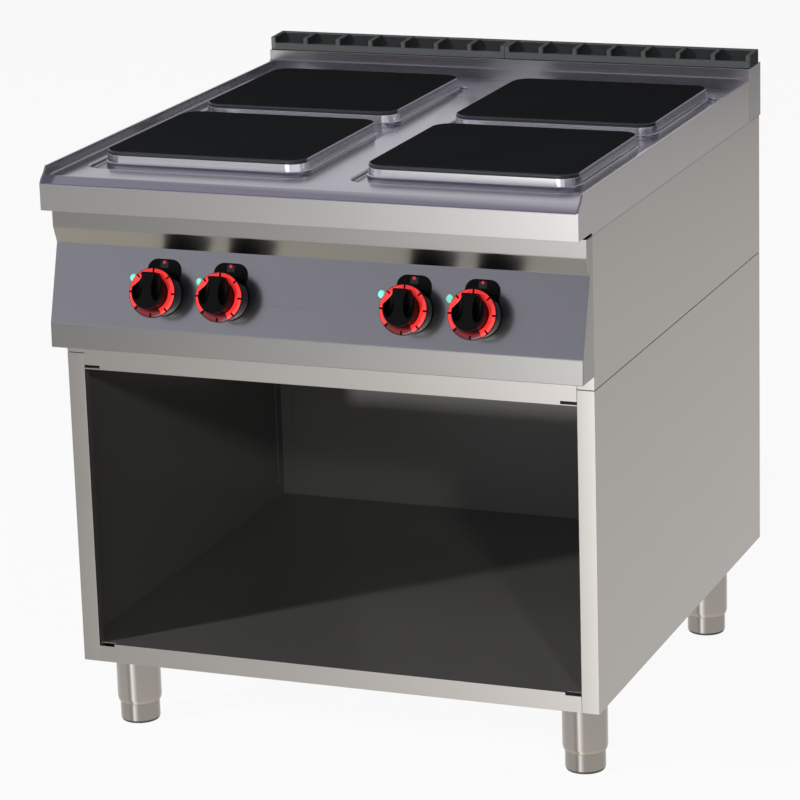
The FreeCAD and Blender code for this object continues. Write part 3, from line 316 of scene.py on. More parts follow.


# ----------------------------------------------------------------------------- base module
# The open cabinet: folded sheets of satin stainless, spot welded together. The inside of
# the bay is painted dark and dull as painted shade. The folds are soft, with a small radius.

BASE_COLOUR = (0.370, 0.359, 0.349, 1)
BAY_SHADE_COLOUR = (0.122, 0.119, 0.114, 1)
BAY_SIDE = 0.3993
BAY_MOUTH = -0.3764
BAY_BACK = 0.3839
BAY_ROOF = 0.5860
SHEET_FOLD = 0.0005
FLAT_ANGLE = math.radians(0.5)
SMOOTH_ANGLE = math.radians(50)
BASE_SHEETS = {
    "base_side_left": "Y",
    "base_side_right": "Y",
    "base_floor": "X",
    "base_top_rail": "X",
}
INNER_SHEETS = ("base_back_panel", "base_corner_strips", "leg_plates")


def copy_of(node, name):
    """A copy of a CAD solid's mesh, merged, with the seams in its flat faces cleared."""
    piece = bpy.data.objects.new(name, nodes[node].data.copy())
    bpy.context.scene.collection.objects.link(piece)
    only(piece)
    bpy.ops.mesh.customdata_custom_splitnormals_clear()
    bpy.ops.object.mode_set(mode="EDIT")
    bpy.ops.mesh.select_all(action="SELECT")
    bpy.ops.mesh.remove_doubles(threshold=MERGE_GAP)
    bpy.ops.mesh.dissolve_limited(angle_limit=FLAT_ANGLE)
    bpy.ops.mesh.select_all(action="DESELECT")
    bpy.ops.object.mode_set(mode="OBJECT")
    return piece


def eased(piece, width, angle=30.0, segments=2):
    """Rounds every edge sharper than the angle, and evens the shading of the flats."""
    only(piece)
    bevel = piece.modifiers.new("fold", "BEVEL")
    bevel.width = width
    bevel.segments = segments
    bevel.limit_method = "ANGLE"
    bevel.angle_limit = math.radians(angle)
    bevel.use_clamp_overlap = False
    bpy.ops.object.modifier_apply(modifier=bevel.name)
    bpy.ops.object.shade_smooth_by_angle(angle=SMOOTH_ANGLE)
    flat = piece.modifiers.new("flats", "WEIGHTED_NORMAL")
    flat.keep_sharp = True
    bpy.ops.object.modifier_apply(modifier=flat.name)
    return piece


def recoloured(shader, where, colour):
    """Gives a finish another base colour where a mask is 1."""
    base = Wire(where.tree, shader.inputs["Base Color"].links[0].from_socket)
    where.tint(base, colour).into(shader, "Base Color")


def bay_steel(name, along):
    """Satin steel outside, and a dull dark colour inside the bay, painted as shade."""
    finish, shader, places = steel(name, BASE_COLOUR, along)
    x, y, z = places.axes()
    # Inside the bay the sheet is painted dark, dull and not metallic: painted shade.
    inside = (x > -BAY_SIDE) * (x < BAY_SIDE) * (y > BAY_MOUTH) * (y < BAY_BACK) * (z < BAY_ROOF)
    recoloured(shader, inside, BAY_SHADE_COLOUR)
    (1 - inside).into(shader, "Metallic")
    shader.inputs["Specular IOR Level"].default_value = 0.3
    return finish


def coated(node, finish):
    """Gives a CAD solid that the visual model keeps its finish."""
    nodes[node].data.materials.clear()
    nodes[node].data.materials.append(finish)


for node, along in BASE_SHEETS.items():
    piece = eased(copy_of(node, f"{node}_sheet"), SHEET_FOLD)
    dressed(piece, bay_steel(f"{node}_steel", along), "frame", "panel_steel", node)
inner_steel = bay_steel("base_inner_steel", "X")
for node in INNER_SHEETS:
    coated(node, inner_steel)


# ---------------------------------------------------------------------------- upper module
# The box that carries the top: side panels and back of satin sheet, with a bottom and a
# heat shield of galvanised sheet hung between them.

UPPER_COLOUR = (0.370, 0.359, 0.349, 1)
SHIELD_COLOUR = (0.30, 0.31, 0.32, 1)

upper_steel = steel("upper_steel", UPPER_COLOUR, "Y")[0]
for side in ("left", "right"):
    node = f"upper_side_{side}"
    piece = eased(copy_of(node, f"{node}_sheet"), SHEET_FOLD)
    dressed(piece, upper_steel, "frame", "panel_steel", node)
back_steel = steel("back_steel", UPPER_COLOUR, "X", gloss=0.3)[0]
shield_steel = steel("shield_steel", SHIELD_COLOUR, "X", gloss=0.4)[0]
coated("upper_back_panel", back_steel)
coated("upper_bottom_panel", shield_steel)
coated("heat_shield", shield_steel)


# --------------------------------------------------------------------------- control panel
# One folded stainless sheet with closed ends, leaning out under the worktop. Its folds are
# pressed round a tool; the end plates are welded in and ground flush.

PANEL_COLOUR = (0.270, 0.268, 0.264, 1)
PANEL_FOLD = 0.0011
PANEL_LEAST_FOLD = 12.0

panel_steel = steel("control_panel_steel", PANEL_COLOUR, "X", gloss=0.21)[0]
piece = copy_of("control_panel", "control_panel_sheet")
eased(piece, PANEL_FOLD, angle=PANEL_LEAST_FOLD, segments=3)
dressed(piece, panel_steel, "frame", "panel_steel", "control_panel")


# --------------------------------------------------------------------------------- worktop
# A pressed stainless top: raised rims, a nose over the panel, and two shallow wells whose
# edges are drawn round in the press.

TOP_COLOUR = (0.385, 0.38, 0.385, 1)
DECK = 0.8550
WELL_FLOOR = 0.8485
WELL_SIDES = (0.033, 0.37)
WELL_ENDS = (-0.349788, 0.340712)
WELL_CORNER = 0.025
WELL_TOP_RADIUS = 0.0036
WELL_FOOT_RADIUS = 0.0022
TOP_FOLD = 0.0004
LEVEL_SLACK = 0.00005
OUTER_SLACK = 0.0005
INNER_SLACK = 0.0001
ARC_SLACK = 0.0002


def opened(piece, chosen):
    """Opens a piece for editing, with the edges selected that a test on their ends picks."""
    only(piece)
    bpy.ops.object.mode_set(mode="EDIT")
    bpy.ops.mesh.select_mode(type="EDGE")
    bpy.ops.mesh.select_all(action="DESELECT")
    bpy.ops.object.mode_set(mode="OBJECT")
    points = piece.data.vertices
    for edge in piece.data.edges:
        edge.select = chosen(*[points[end].co for end in edge.vertices])
    bpy.ops.object.mode_set(mode="EDIT")


def rounded_edges(piece, chosen, radius, segments):
    """Rounds the edges that a test on their two ends picks out."""
    opened(piece, chosen)
    bpy.ops.mesh.bevel(offset=radius, segments=segments, affect="EDGES", clamp_overlap=False)
    bpy.ops.mesh.select_all(action="DESELECT")
    bpy.ops.object.mode_set(mode="OBJECT")


def on_well_outline(point):
    """Whether a point lies on a well's outline, straight or round, seen from above."""
    across = min(abs(point.x) - WELL_SIDES[0], WELL_SIDES[1] - abs(point.x))
    along = min(point.y - WELL_ENDS[0], WELL_ENDS[1] - point.y)
    if min(across, along) < INNER_SLACK:
        return min(across, along) > -OUTER_SLACK
    if max(across, along) > WELL_CORNER:
        return False
    reach = math.hypot(WELL_CORNER - across, WELL_CORNER - along)
    return abs(reach - WELL_CORNER) < ARC_SLACK


def well_ring(level):
    """A test for the edges of both wells at one level."""
    def chosen(*ends):
        return all(abs(end.z - level) < LEVEL_SLACK and on_well_outline(end) for end in ends)
    return chosen


top_steel = steel("worktop_steel", TOP_COLOUR, "X")[0]
piece = copy_of("worktop", "worktop_pressing")
rounded_edges(piece, well_ring(DECK), WELL_TOP_RADIUS, segments=5)
rounded_edges(piece, well_ring(WELL_FLOOR), WELL_FOOT_RADIUS, segments=4)
eased(piece, TOP_FOLD)
dressed(piece, top_steel, "frame", "worktop_steel", "worktop")


# ---------------------------------------------------------------- flue box and its grilles
# A folded stainless box along the back, with two cast vent grilles that rest in its top.
# The castings are black enamelled: round edges, a slightly pitted skin, painted shade in
# pockets.

BOX_COLOUR = (0.36, 0.355, 0.355, 1)
GRILLE_COLOUR = (0.126, 0.135, 0.133, 1)
POCKET_SHADE_COLOUR = (0.050, 0.053, 0.053, 1)
POCKET_FRONT = 0.4115
POCKET_BACK = 0.4488
POCKET_TOP = 0.9075
BOX_FOLD = 0.0006
CAST_EDGE = 0.0009

box_steel = steel("flue_box_steel", BOX_COLOUR, "X", gloss=0.26)[0]
piece = eased(copy_of("upstand", "flue_box"), BOX_FOLD)
dressed(piece, box_steel, "frame", "panel_steel", "upstand")


def cast_iron(name, colour, gloss, pit, **constants):
    """Cast iron under black enamel: coarse and fine pits, and a mottled gloss."""
    finish, shader, places = new_finish(name, **constants)
    coarse = places.noise(160.0, 4.0, 0.6)
    fine = places.noise(1400.0)
    cloud = places.noise(9.0, 3.0)
    shade = coarse * 0.5 + cloud * 0.5
    shade.tint(*shades(colour, 1.25, 0.8, 0.001)).into(shader, "Base Color")
    (gloss - 0.08 + coarse * 0.1 + cloud * 0.06).into(shader, "Roughness")
    (coarse * 0.7 + fine * 0.3).bump(pit, 0.0003).into(shader, "Normal")
    return finish, shader, places


grille_iron, shader, places = cast_iron(
    "grille_iron", GRILLE_COLOUR, gloss=0.5, pit=0.25, Specular_IOR_Level=0.04)
x, y, z = places.axes()
# The pocket floors are painted darker: painted shade.
recoloured(shader, (y > POCKET_FRONT) * (y < POCKET_BACK) * (z < POCKET_TOP), POCKET_SHADE_COLOUR)
for side in ("left", "right"):
    node = f"vent_grille_{side}"
    piece = eased(copy_of(node, f"{node}_casting"), CAST_EDGE, segments=3)
    dressed(piece, grille_iron, "frame", "grille_iron", node)


# -------------------------------------------------------------- hot plates and their trims
# Square cast iron plates, matt on top, enamelled in front and ground bright at the flanks,
# each seated on a polished stainless trim of two steps. Below hang the dish, terminal
# block, clamp bar and nut.

PLATE_COLOUR = (0.0330, 0.0362, 0.0382, 1)
PLATE_FACE = 0.8728
PLATE_X = 0.2015
PLATE_Y = (-0.168288, 0.185712)
PLATE_HALF = (0.156, 0.150)
PLATE_CORNER = 0.028
FLANK_COLOUR = (0.45, 0.45, 0.48, 1)
FLANK_DEPTH = 0.0012
FLANK_TOP = 0.8730
TRIM_LEDGE = 0.8560
TRIM_REACH = 0.001
TRIM_SLACK = 0.0001
TRIM_FOLD = 0.0004
TRIM_DRAFT = 0.0062
TRIM_COLOUR = (0.72, 0.72, 0.725, 1)
ZINC_COLOUR = (0.42, 0.43, 0.45, 1)
CERAMIC_COLOUR = (0.74, 0.71, 0.64, 1)


def outside_plate(point, middle):
    """How far a point stands outside the round-cornered outline of a plate."""
    across, along = (abs(point[axis] - middle[axis]) - PLATE_HALF[axis] + PLATE_CORNER
                     for axis in (0, 1))
    if across > 0 and along > 0:
        return math.hypot(across, along) - PLATE_CORNER
    return max(across, along) - PLATE_CORNER


plate_iron, shader, places = cast_iron(
    "plate_iron", PLATE_COLOUR, gloss=0.6, pit=0.05, Specular_IOR_Level=0.0, Coat_Roughness=0.2)
x, y, z = places.axes()
flank = ((x.size() - PLATE_X).size() > PLATE_HALF[0] - FLANK_DEPTH) * (z < FLANK_TOP)
(z < PLATE_FACE).into(shader, "Coat Weight")
flank.into(shader, "Metallic")
recoloured(shader, flank, FLANK_COLOUR)
for corner in LEG_PLACES:
    node = f"hot_plate_{corner}"
    piece = eased(copy_of(node, f"{node}_casting"), CAST_EDGE, segments=3)
    dressed(piece, plate_iron, "frame", "plate_iron", node)

# The foot of each trim's upper wall is drawn out a little, so that the wall leans
trim_steel = steel("trim_steel", TRIM_COLOUR, "X", gloss=0.16)[0]
piece = copy_of("plate_trims", "plate_trim_rings")
for point in piece.data.vertices:
    middle = (math.copysign(PLATE_X, point.co.x), PLATE_Y[0 if point.co.y < 0 else 1])
    on_ledge = abs(point.co.z - TRIM_LEDGE) < TRIM_SLACK
    if on_ledge and outside_plate(point.co, middle) < TRIM_REACH:
        for axis in (0, 1):
            point.co[axis] += (point.co[axis] - middle[axis]) * TRIM_DRAFT
eased(piece, TRIM_FOLD, segments=3)
dressed(piece, trim_steel, "frame", "trim_steel", "plate_trims")
zinc = steel("zinc_plating", ZINC_COLOUR, "X", gloss=0.36)[0]
for node in ("plate_covers", "plate_clamp_bars", "plate_nuts"):
    coated(node, zinc)
coated("plate_terminals", moulded("glazed_ceramic", CERAMIC_COLOUR, gloss=0.3))


# ------------------------------------------------------------------ bezels and index marks
# Glossy black mouldings behind the knobs, each with a tab above its disc. A small smoked
# window in the tab shows the red index dot. The badge place on the panel stays bare.

KNOB_X = (-0.228, -0.126, 0.149, 0.249)
AXIS_PLACE = (-0.409316, 0.691589)
PANEL_LEAN = math.radians(90 - 16.8)
BEZEL_COLOUR = (0.0030, 0.0031, 0.0027, 1)
WINDOW_COLOUR = (0.022, 0.022, 0.024, 1)
MARK_RED = (0.95, 0.03, 0.03, 1)
BEZEL_THICK = 0.003
BEZEL_RINGS = ((0.0320, 0.0), (0.0320, BEZEL_THICK))
TAB_WIDTH = 0.0505
TAB_RISE = 0.0497
TAB_CORNER = 0.0155
BEZEL_HOLE = 0.008
BEZEL_EDGE = 0.0009
BEZEL_SIDES = 128
CUT_DEPTH = 0.02
MARK_PLACE = (0.0007, 0.0450, 0.0033)
MARK_RINGS = ((0.0024, 0.0), (0.0024, 0.0004), (0.0019, 0.0008))
WINDOW_PLACE = (0.0007, 0.0420, 0.0029)
WINDOW_SIZE = (0.0116, 0.0100, 0.0008)
WINDOW_EDGE = 0.0003


def block(name, place, size):
    """A box about its middle, to be cut or rounded into a piece."""
    bpy.ops.object.select_all(action="DESELECT")
    bpy.ops.mesh.primitive_cube_add(size=1.0, location=place)
    piece = bpy.context.object
    piece.name = name
    piece.scale = size
    bpy.ops.object.transform_apply(location=True, rotation=True, scale=True)
    return piece


def combined(piece, other, operation):
    """Joins another piece to this one, or cuts it away, and deletes it."""
    only(piece)
    change = piece.modifiers.new("change", "BOOLEAN")
    change.operation = operation
    change.solver = "EXACT"
    change.object = other
    bpy.ops.object.modifier_apply(modifier=change.name)
    bpy.data.objects.remove(other)


def tab_corner(start, end):
    """A test for the two upright edges at the top corners of a bezel's tab."""
    upright = abs(start.z - end.z) > BEZEL_THICK / 2
    return upright and min(start.y, end.y) > TAB_RISE / 2


bezel = turned("bezel", BEZEL_RINGS, sides=BEZEL_SIDES)
tab = block("bezel_tab", (0, TAB_RISE / 2, BEZEL_THICK / 2), (TAB_WIDTH, TAB_RISE, BEZEL_THICK))
rounded_edges(tab, tab_corner, TAB_CORNER, segments=14)
combined(bezel, tab, "UNION")
bpy.ops.object.select_all(action="DESELECT")
bpy.ops.mesh.primitive_cylinder_add(vertices=48, radius=BEZEL_HOLE, depth=CUT_DEPTH)
combined(bezel, bpy.context.object, "DIFFERENCE")
eased(bezel, BEZEL_EDGE, segments=3)
window = eased(block("index_window", WINDOW_PLACE, WINDOW_SIZE), WINDOW_EDGE)
mark = settled(smoothed(turned("index_mark", MARK_RINGS, sides=40)), MARK_PLACE)

bezel_plastic = moulded("bezel_plastic", BEZEL_COLOUR, gloss=0.25, Specular_IOR_Level=0.05)
window_plastic = moulded("window_plastic", WINDOW_COLOUR, gloss=0.2, Specular_IOR_Level=0.2)
mark_red = moulded("index_red", MARK_RED, gloss=0.35)
for number, x in enumerate(KNOB_X, start=1):
    place = (x, *AXIS_PLACE)
    piece = settled(spare(bezel, f"bezel_{number}"), place, PANEL_LEAN)
    dressed(piece, bezel_plastic, "frame", "bezel_plastic", "bezels")
    piece = settled(spare(window, f"index_window_{number}"), place, PANEL_LEAN)
    dressed(piece, window_plastic, "frame", "bezel_plastic")
    piece = settled(spare(mark, f"index_mark_{number}"), place, PANEL_LEAN)
    dressed(piece, mark_red, "frame", "ring_plastic")
for piece in (bezel, window, mark):
    bpy.data.objects.remove(piece)


# ----------------------------------------------------------------------------------- knobs
# A black phenolic knob with a flared skirt and a bar grip hollowed for two fingers, moulded
# in one and polished. A black ring snaps over its core and carries the red scale with eight
# black marks. The scale glows a little, as painted light, and its lowest part is a darker
# red that is painted shade.

SKIRT_RINGS = (
    (0.0300, 0.0038),
    (0.0312, 0.0044),
    (0.0318, 0.0090),
    (0.0328, 0.0180),
    (0.0338, 0.0285),
    (0.0339, 0.0303),
    (0.0333, 0.0312),
    (0.0242, 0.0312),
)
CORE_RINGS = (
    (0.0238, 0.0300),
    (0.0240, 0.0370),
    (0.0235, 0.0555),
)
RIM_RINGS = (
    (0.02415, 0.0315),
    (0.0348, 0.0315),
    (0.03525, 0.0321),
    (0.03525, 0.0364),
    (0.0350, 0.0370),
    (0.0345, 0.0370),
    (0.0344, 0.0366),
    (0.02415, 0.0366),
)
SCALE_RINGS = (
    (0.0246, 0.0360),
    (0.0343, 0.0360),
    (0.0343, 0.0370),
    (0.0339, 0.0373),
    (0.0250, 0.0373),
    (0.0246, 0.0370),
)
FINE_SIDES = 128
SCALE_SHADE_MIDDLE = math.radians(-100)
SCALE_SHADE_HALF = math.radians(40)
WEDGE_REACH = 0.06
WEDGE_LEVEL = 0.0365
WEDGE_DEPTH = 0.01
NOSE_BASE = (0.0392, 0.0133)
NOSE_END = (0.0192, 0.0285)
NOSE_HEIGHTS = (0.0381, 0.0555)
SCOOP_PLACE = (0.0145, 0.008, 0.0555)
SCOOP_SIZE = (0.0078, 0.0190, 0.0130)
TICK_PLACE = (0, 0.0317, 0.0372)
TICK_SIZE = (0.0026, 0.0054, 0.0009)
TICK_COUNT = 8
TICK_EDGE = 0.00015
CORE_MERGE_GAP = 0.00004
CORE_EDGE = 0.0008
CORE_LEAST_EDGE = 32.0
KNOB_COLOUR = (0.0016, 0.0016, 0.0014, 1)
SKIRT_COLOUR = (0.0045, 0.0045, 0.0045, 1)
SCALE_COLOUR = (0.98, 0.028, 0.024, 1)
SHADED_SCALE_COLOUR = (0.11, 0.004, 0.004, 1)
TICK_COLOUR = (0.002, 0.002, 0.002, 1)

skirt = smoothed(turned("knob_skirt", SKIRT_RINGS), 50)
rim = smoothed(turned("dial_rim", RIM_RINGS, hollow=True, sides=FINE_SIDES), 40)
core = turned("knob_core", CORE_RINGS, sides=FINE_SIDES)
nose = block(
    "knob_nose",
    (0, (NOSE_BASE[1] + NOSE_END[1]) / 2, sum(NOSE_HEIGHTS) / 2),
    (NOSE_BASE[0], NOSE_END[1] - NOSE_BASE[1], NOSE_HEIGHTS[1] - NOSE_HEIGHTS[0]))
opened(nose, lambda start, end: min(start.y, end.y) > (NOSE_BASE[1] + NOSE_END[1]) / 2)
bpy.ops.transform.resize(value=(NOSE_END[0] / NOSE_BASE[0], 1, 1), center_override=(0, 0, 0))
bpy.ops.object.mode_set(mode="OBJECT")
combined(core, nose, "UNION")
for side in (-1, 1):
    bpy.ops.object.select_all(action="DESELECT")
    place = (SCOOP_PLACE[0] * side, *SCOOP_PLACE[1:])
    bpy.ops.mesh.primitive_uv_sphere_add(segments=64, ring_count=32, radius=1.0, location=place)
    scoop = bpy.context.object
    scoop.scale = SCOOP_SIZE
    bpy.ops.object.transform_apply(location=True, rotation=True, scale=True)
    combined(core, scoop, "DIFFERENCE")
only(core)
bpy.ops.object.mode_set(mode="EDIT")
bpy.ops.mesh.select_all(action="SELECT")
bpy.ops.mesh.remove_doubles(threshold=CORE_MERGE_GAP)
bpy.ops.mesh.dissolve_limited(angle_limit=FLAT_ANGLE)
bpy.ops.object.mode_set(mode="OBJECT")
eased(core, CORE_EDGE, angle=CORE_LEAST_EDGE, segments=3)


def wedge():
    """A three-sided prism from the axis outwards, over the part of the scale that is painted
    shade.
    """
    bpy.ops.object.select_all(action="DESELECT")
    bpy.ops.mesh.primitive_cylinder_add(vertices=3, radius=1.0, depth=WEDGE_DEPTH)
    piece = bpy.context.object
    piece.location = (0, -WEDGE_REACH * 2 / 3, WEDGE_LEVEL)
    piece.scale = (WEDGE_REACH * math.tan(SCALE_SHADE_HALF) / (math.sqrt(3) / 2), WEDGE_REACH / 1.5, 1)
    bpy.ops.object.transform_apply(location=True, rotation=True, scale=True)
    piece.rotation_euler = (0, 0, SCALE_SHADE_MIDDLE + math.radians(90))
    bpy.ops.object.transform_apply(location=True, rotation=True, scale=True)
    return piece


scale = turned("dial_scale", SCALE_RINGS, hollow=True, sides=FINE_SIDES)
# The lowest part of the scale is cut off as a darker red copy: painted shade.
shaded_scale = spare(scale, "dial_scale_dark")
combined(scale, wedge(), "DIFFERENCE")
combined(shaded_scale, wedge(), "INTERSECT")
smoothed(scale, 40)
smoothed(shaded_scale, 40)

tick = eased(block("scale_mark", TICK_PLACE, TICK_SIZE), TICK_EDGE)
ticks = []
for count in range(TICK_COUNT):
    copy = spare(tick, "scale_mark")
    only(copy)
    copy.rotation_euler = (0, 0, 2 * math.pi * count / TICK_COUNT)
    bpy.ops.object.transform_apply(location=True, rotation=True, scale=True)
    ticks.append(copy)
bpy.data.objects.remove(tick)
only(*ticks)
bpy.ops.object.join()
tick = bpy.context.object

knob_plastic = moulded(
    "knob_plastic", KNOB_COLOUR, gloss=0.26, grain=0.02, Specular_IOR_Level=0.06)
skirt_plastic = moulded(
    "skirt_plastic", SKIRT_COLOUR, gloss=0.16, grain=0.01, Specular_IOR_Level=0.1)
# The red scale glows a little by emission: painted light.
scale_red = moulded(
    "scale_red", SCALE_COLOUR, gloss=0.28, grain=0.02, Coat_Weight=0.2,
    Emission_Color=SCALE_COLOUR, Emission_Strength=0.25)
# A darker red for the lowest part of the scale, as painted shade.
scale_painted_shade_red = moulded(
    "scale_painted_shade_red", SHADED_SCALE_COLOUR, gloss=0.2, grain=0.02, Coat_Weight=0.2)
tick_paint = moulded("tick_paint", TICK_COLOUR, gloss=0.5, Specular_IOR_Level=0.0)
for number, x in enumerate(KNOB_X, start=1):
    place = (x, *AXIS_PLACE)
    body = f"knob_{number}_body"
    knob = f"knob_{number}"
    dial = f"dial_ring_{number}"
    for part, name, finish, slot, *replaced in (
        (core, f"{knob}_grip", knob_plastic, "knob_plastic", knob),
        (skirt, f"{knob}_skirt", skirt_plastic, "knob_plastic", knob),
        (rim, f"{dial}_rim", skirt_plastic, "ring_plastic", dial),
        (scale, f"{dial}_scale", scale_red, "ring_plastic", dial),
        (shaded_scale, f"{dial}_scale_dark", scale_painted_shade_red, "ring_plastic", dial),
        (tick, f"{dial}_marks", tick_paint, "knob_plastic"),
    ):
        piece = settled(spare(part, name), place, PANEL_LEAN)
        dressed(piece, finish, body, slot, *replaced)
for piece in (core, skirt, rim, scale, shaded_scale, tick):
    bpy.data.objects.remove(piece)
shaft_steel = steel("shaft_steel", ZINC_COLOUR, "Y", gloss=0.3)[0]
for number in range(1, len(KNOB_X) + 1):
    coated(f"switch_shaft_{number}", shaft_steel)


# ----------------------------------------------------------------------------- pilot lamps
# Four turquoise polycarbonate lenses, one left of each knob. Each is domed, and its stem is
# clipped into a hole in the panel.

LAMP_SHIFT = (-0.046, 0.0205, 0)
LAMP_RINGS = (
    (0.0049, -0.0180),
    (0.0050, 0.0001),
    (0.0060, 0.0002),
    (0.0060, 0.0008),
    (0.0057, 0.0016),
    (0.0048, 0.0024),
    (0.0034, 0.0029),
    (0.0016, 0.0032),
)
LAMP_COLOUR = (0.23, 0.76, 0.61, 1)

lamp_lens = moulded(
    "lamp_lens", LAMP_COLOUR, gloss=0.22, Emission_Color=LAMP_COLOUR, Emission_Strength=0.1)
lamp = settled(smoothed(turned("pilot_lamp", LAMP_RINGS, sides=48), 50), LAMP_SHIFT)
for number, x in enumerate(KNOB_X, start=1):
    piece = settled(spare(lamp, f"pilot_lamp_{number}_lens"), (x, *AXIS_PLACE), PANEL_LEAN)
    dressed(piece, lamp_lens, "frame", "lamp_lens", "pilot_lamps")
bpy.data.objects.remove(lamp)


# ------------------------------------------------------------- switches and mains fittings
# Cream thermoset switch bodies and terminal block, a black nylon gland under the floor of
# the upper module, and a brass earth stud through the back of the base.

SWITCH_COLOUR = (0.70, 0.68, 0.60, 1)
GLAND_COLOUR = (0.03, 0.03, 0.031, 1)
BRASS_COLOUR = (0.66, 0.47, 0.20, 1)

switch_plastic = moulded("switch_plastic", SWITCH_COLOUR, gloss=0.45)
coated("switch_bodies", switch_plastic)
coated("mains_terminal_block", switch_plastic)
coated("cable_gland", moulded("gland_plastic", GLAND_COLOUR, gloss=0.4))
coated("earth_stud", steel("earth_brass", BRASS_COLOUR, "Y", gloss=0.3)[0])


# ---------------------------------------------------------------------------------- studio
# A wide white floor under a dome that the polished steel reflects, with a tall light panel
# at the front. Three small lamps light the matt parts from the left, the right and below
# the floor's level; soft fills stand low in front, overhead and behind.

FLOOR_HALF = 60.0
FLOOR_COLOUR = (0.9, 0.9, 0.9, 1)
FLOOR_GLOW = 0.94

bpy.ops.object.select_all(action="DESELECT")
bpy.ops.mesh.primitive_plane_add(size=2 * FLOOR_HALF, location=(0, 0, 0))
floor = bpy.context.object
floor.name = "studio_floor"
floor.visible_glossy = False
floor.visible_diffuse = False
floor.visible_shadow = False
floor.visible_transmission = False
finish = bpy.data.materials.new("studio_floor")
finish.use_nodes = True
tree = finish.node_tree
tree.nodes.clear()
wires = Wire(tree)
seen = wires.add("ShaderNodeLightPath", {}, {}, "Is Camera Ray")
outputs = seen.socket.node.outputs
mirrored = Wire(tree, outputs["Is Glossy Ray"]) + Wire(tree, outputs["Is Transmission Ray"])
matt = wires.add("ShaderNodeBsdfDiffuse", {}, {"Color": FLOOR_COLOUR})
glow = wires.add("ShaderNodeEmission", {}, {"Color": (1, 1, 1, 1), "Strength": 1.0})
share = (seen + mirrored) * FLOOR_GLOW
mixed = wires.add("ShaderNodeMixShader", {}, {0: share, 1: matt, 2: glow})
wires.add("ShaderNodeOutputMaterial", {}, {"Surface": mixed}, None)
floor.data.materials.append(finish)

# What the dome gives off, from straight down to straight up
NADIR_LIGHT = (1.16, 1.06, 0.87, 1)
BELOW_LIGHT = (0.92, 0.89, 0.86, 1)
LOW_LIGHT = (0.45, 0.44, 0.43, 1)
FAINT_BELOW_LIGHT = (0.61, 0.60, 0.575, 1)
FAINT_LOW_LIGHT = (0.30, 0.295, 0.29, 1)
HORIZON_LIGHT = (0.60, 0.59, 0.60, 1)
LEFT_LIGHT = (0.80, 0.805, 0.96, 1)
AHEAD_LIGHT = (0.40, 0.405, 0.505, 1)
GLOW_LIGHT = (1.00, 0.98, 1.12, 1)
BACK_LIGHT = (0.80, 0.78, 0.86, 1)
ZENITH_LIGHT = (0.36, 0.34, 0.47, 1)
SHADE_LIGHT = (0.06, 0.06, 0.06, 1)
PANEL_LIGHT = (4.4, 4.35, 4.28, 1)
SKY_LIGHT = (FLOOR_GLOW, FLOOR_GLOW, FLOOR_GLOW, 1)
# Heights on the dome, as sines of the angle over the floor
DEEP = (-0.85, -0.36)
UNDER = (-0.36, 0.0)
HORIZON = (-0.02, 0.02)
LOW_SKY = (0.02, 0.20)
HIGH_SKY = (0.35, 0.75)
GLOW_TOP = (0.200, 0.235)
SHADE_HEIGHTS = (-0.205, -0.165, 0.30, 0.45)
PANEL_FOOT = (-0.36, -0.16)
PANEL_STEP = (-0.12, 0.0)
PANEL_TOP = (0.20, 0.25)
# Places along the dome from front to back, and across it
FACING = (-0.4, -0.2)
PASSING = (-0.3, 0.3)
SHADE_ALONG = (0.2, 0.5)
SHADE_ACROSS = (-0.05, 0.2)
# Turns to the right of straight ahead, in degrees
DIP_TURNS = (-42.0, -36.0, -30.0, -22.0)
SIDE_TURNS = (100.0, 150.0, 165.0, 175.0)
LEFT_TO_AHEAD = (-30.0, -14.0)
STRIP_LEFT = (-20.3, -16.6)
CORNER_LEFT = (-14.0, -9.0)
PANEL_DIM = (-9.0, -4.0)
PANEL_RIGHT = (2.0, 8.0)
# Shares of strength
SIDE_SHARE = 0.25
SHADE_SHARE = 0.8
FOOT_SHARE = 0.47
DIM_SHARE = 0.62

world = bpy.data.worlds.new("studio")
bpy.context.scene.world = world
world.use_nodes = True
world.cycles_visibility.diffuse = False
tree = world.node_tree
tree.nodes.clear()
wires = Wire(tree)
across, along, up = wires.add("ShaderNodeTexCoord", {}, {}, "Generated").axes()
turn = wires.math("ARCTAN2", across, 0.0 - along) * math.degrees(1)
facing = 1 - along.between(*FACING)

# Under the horizon: bright but for a dip at the left, and a fainter side
deep = up.between(*DEEP).tint(NADIR_LIGHT, BELOW_LIGHT)
full = up.between(*UNDER).tint(deep, LOW_LIGHT)
faint = up.between(*UNDER).tint(FAINT_BELOW_LIGHT, FAINT_LOW_LIGHT)
below = (turn.within(*DIP_TURNS) + turn.within(*SIDE_TURNS) * SIDE_SHARE).tint(full, faint)

# Over it: a glow low in front, and paler towards the back
ahead = turn.between(*LEFT_TO_AHEAD).tint(LEFT_LIGHT, AHEAD_LIGHT)
front = (facing * (1 - up.between(*GLOW_TOP))).tint(ahead, GLOW_LIGHT)
behind = along.between(*PASSING).tint(front, BACK_LIGHT)
sky = facing.tint(up.between(*LOW_SKY).tint(HORIZON_LIGHT, behind), front)
above = up.between(*HIGH_SKY).tint(sky, ZENITH_LIGHT)
open_dome = up.between(*HORIZON).tint(below, above)

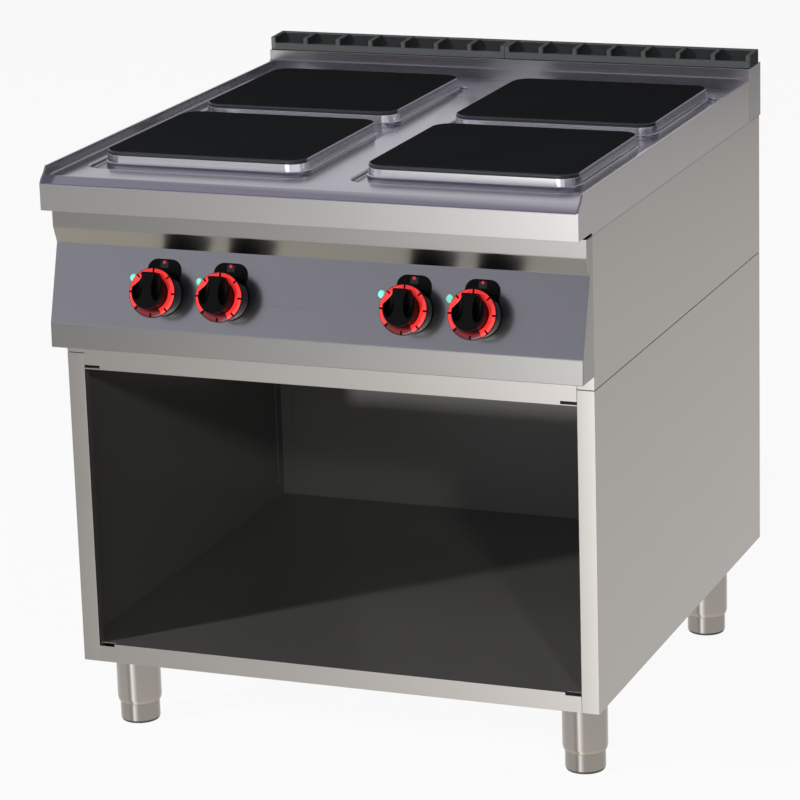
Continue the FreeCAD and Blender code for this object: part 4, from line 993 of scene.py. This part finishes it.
# A shade at the right of the back, and the light panel with its step
shade = along.between(*SHADE_ALONG) * across.between(*SHADE_ACROSS)
shade = shade * up.within(*SHADE_HEIGHTS) * SHADE_SHARE
dome = shade.tint(open_dome, SHADE_LIGHT)
raised = up.between(*PANEL_STEP)
edge = (1 - turn.between(*PANEL_DIM) * DIM_SHARE) * (1 - turn.between(*PANEL_RIGHT))
foot = FOOT_SHARE + up.between(*PANEL_FOOT) * (1 - FOOT_SHARE)
strip = turn.between(*STRIP_LEFT) * edge * (1 - raised) * foot
corner = turn.between(*CORNER_LEFT) * edge * raised * (1 - up.between(*PANEL_TOP))
panel = (strip + corner).tint(dome, PANEL_LIGHT)
seen = wires.add("ShaderNodeLightPath", {}, {}, "Is Camera Ray")
sky = seen.tint(panel, SKY_LIGHT)
lit = wires.add("ShaderNodeBackground", {}, {"Color": sky, "Strength": 1.0})
wires.add("ShaderNodeOutputWorld", {}, {"Surface": lit}, None)

# Square lamps that look at the cooker: name, place, size and power. Polished steel sees the
# dome in their stead.
LAMP_AIM = (0, 0, 0.6)
STUDIO_LAMPS = (
    ("front_left_lamp", (-3.24, -3.39, 2.31), 0.25, 128),
    ("front_right_lamp", (2.60, -3.94, 2.25), 0.25, 42),
    ("low_front_lamp", (-0.91, -4.45, -0.78), 0.15, 150),
    ("low_front_fill", (0.6, -4.2, 0.9), 2.4, 36),
    ("overhead_fill", (0.3, -0.8, 4.2), 3.0, 5),
    ("back_left_fill", (-2.8, 3.6, 2.6), 1.2, 9),
    ("back_right_fill", (3.2, 3.2, 2.4), 1.2, 9),
)
for name, place, size, power in STUDIO_LAMPS:
    light = bpy.data.lights.new(name, "AREA")
    light.shape = "SQUARE"
    light.size = size
    light.energy = power
    holder = bpy.data.objects.new(name, light)
    holder.location = place
    aim = Vector(LAMP_AIM) - Vector(place)
    holder.rotation_mode = "QUATERNION"
    holder.rotation_quaternion = aim.to_track_quat("-Z", "Y")
    holder.visible_camera = False
    holder.visible_glossy = False
    bpy.context.scene.collection.objects.link(holder)

# The camera that the photograph's edges give, with a long lens
CAMERA_PLACE = (1.8870, -4.86857, 1.92609)
CAMERA_TURN = math.radians(21.541)
CAMERA_DIP = math.radians(15.874)
CAMERA_ROLL = math.radians(-1.743)
CAMERA_LENS = 161.79
CAMERA_SENSOR = 36.0
CAMERA_RANGE = (0.05, 400.0)
camera = bpy.data.cameras.new("camera")
camera.lens = CAMERA_LENS
camera.sensor_width = CAMERA_SENSOR
camera.clip_start, camera.clip_end = CAMERA_RANGE
holder = bpy.data.objects.new("camera", camera)
holder.location = CAMERA_PLACE
holder.rotation_mode = "QUATERNION"
holder.rotation_quaternion = (
    Quaternion((0, 0, 1), CAMERA_TURN)
    @ Quaternion((1, 0, 0), math.pi / 2 - CAMERA_DIP)
    @ Quaternion((0, 0, 1), CAMERA_ROLL)
)
bpy.context.scene.collection.objects.link(holder)
bpy.context.scene.camera = holder
bpy.context.scene.view_settings.view_transform = "Standard"
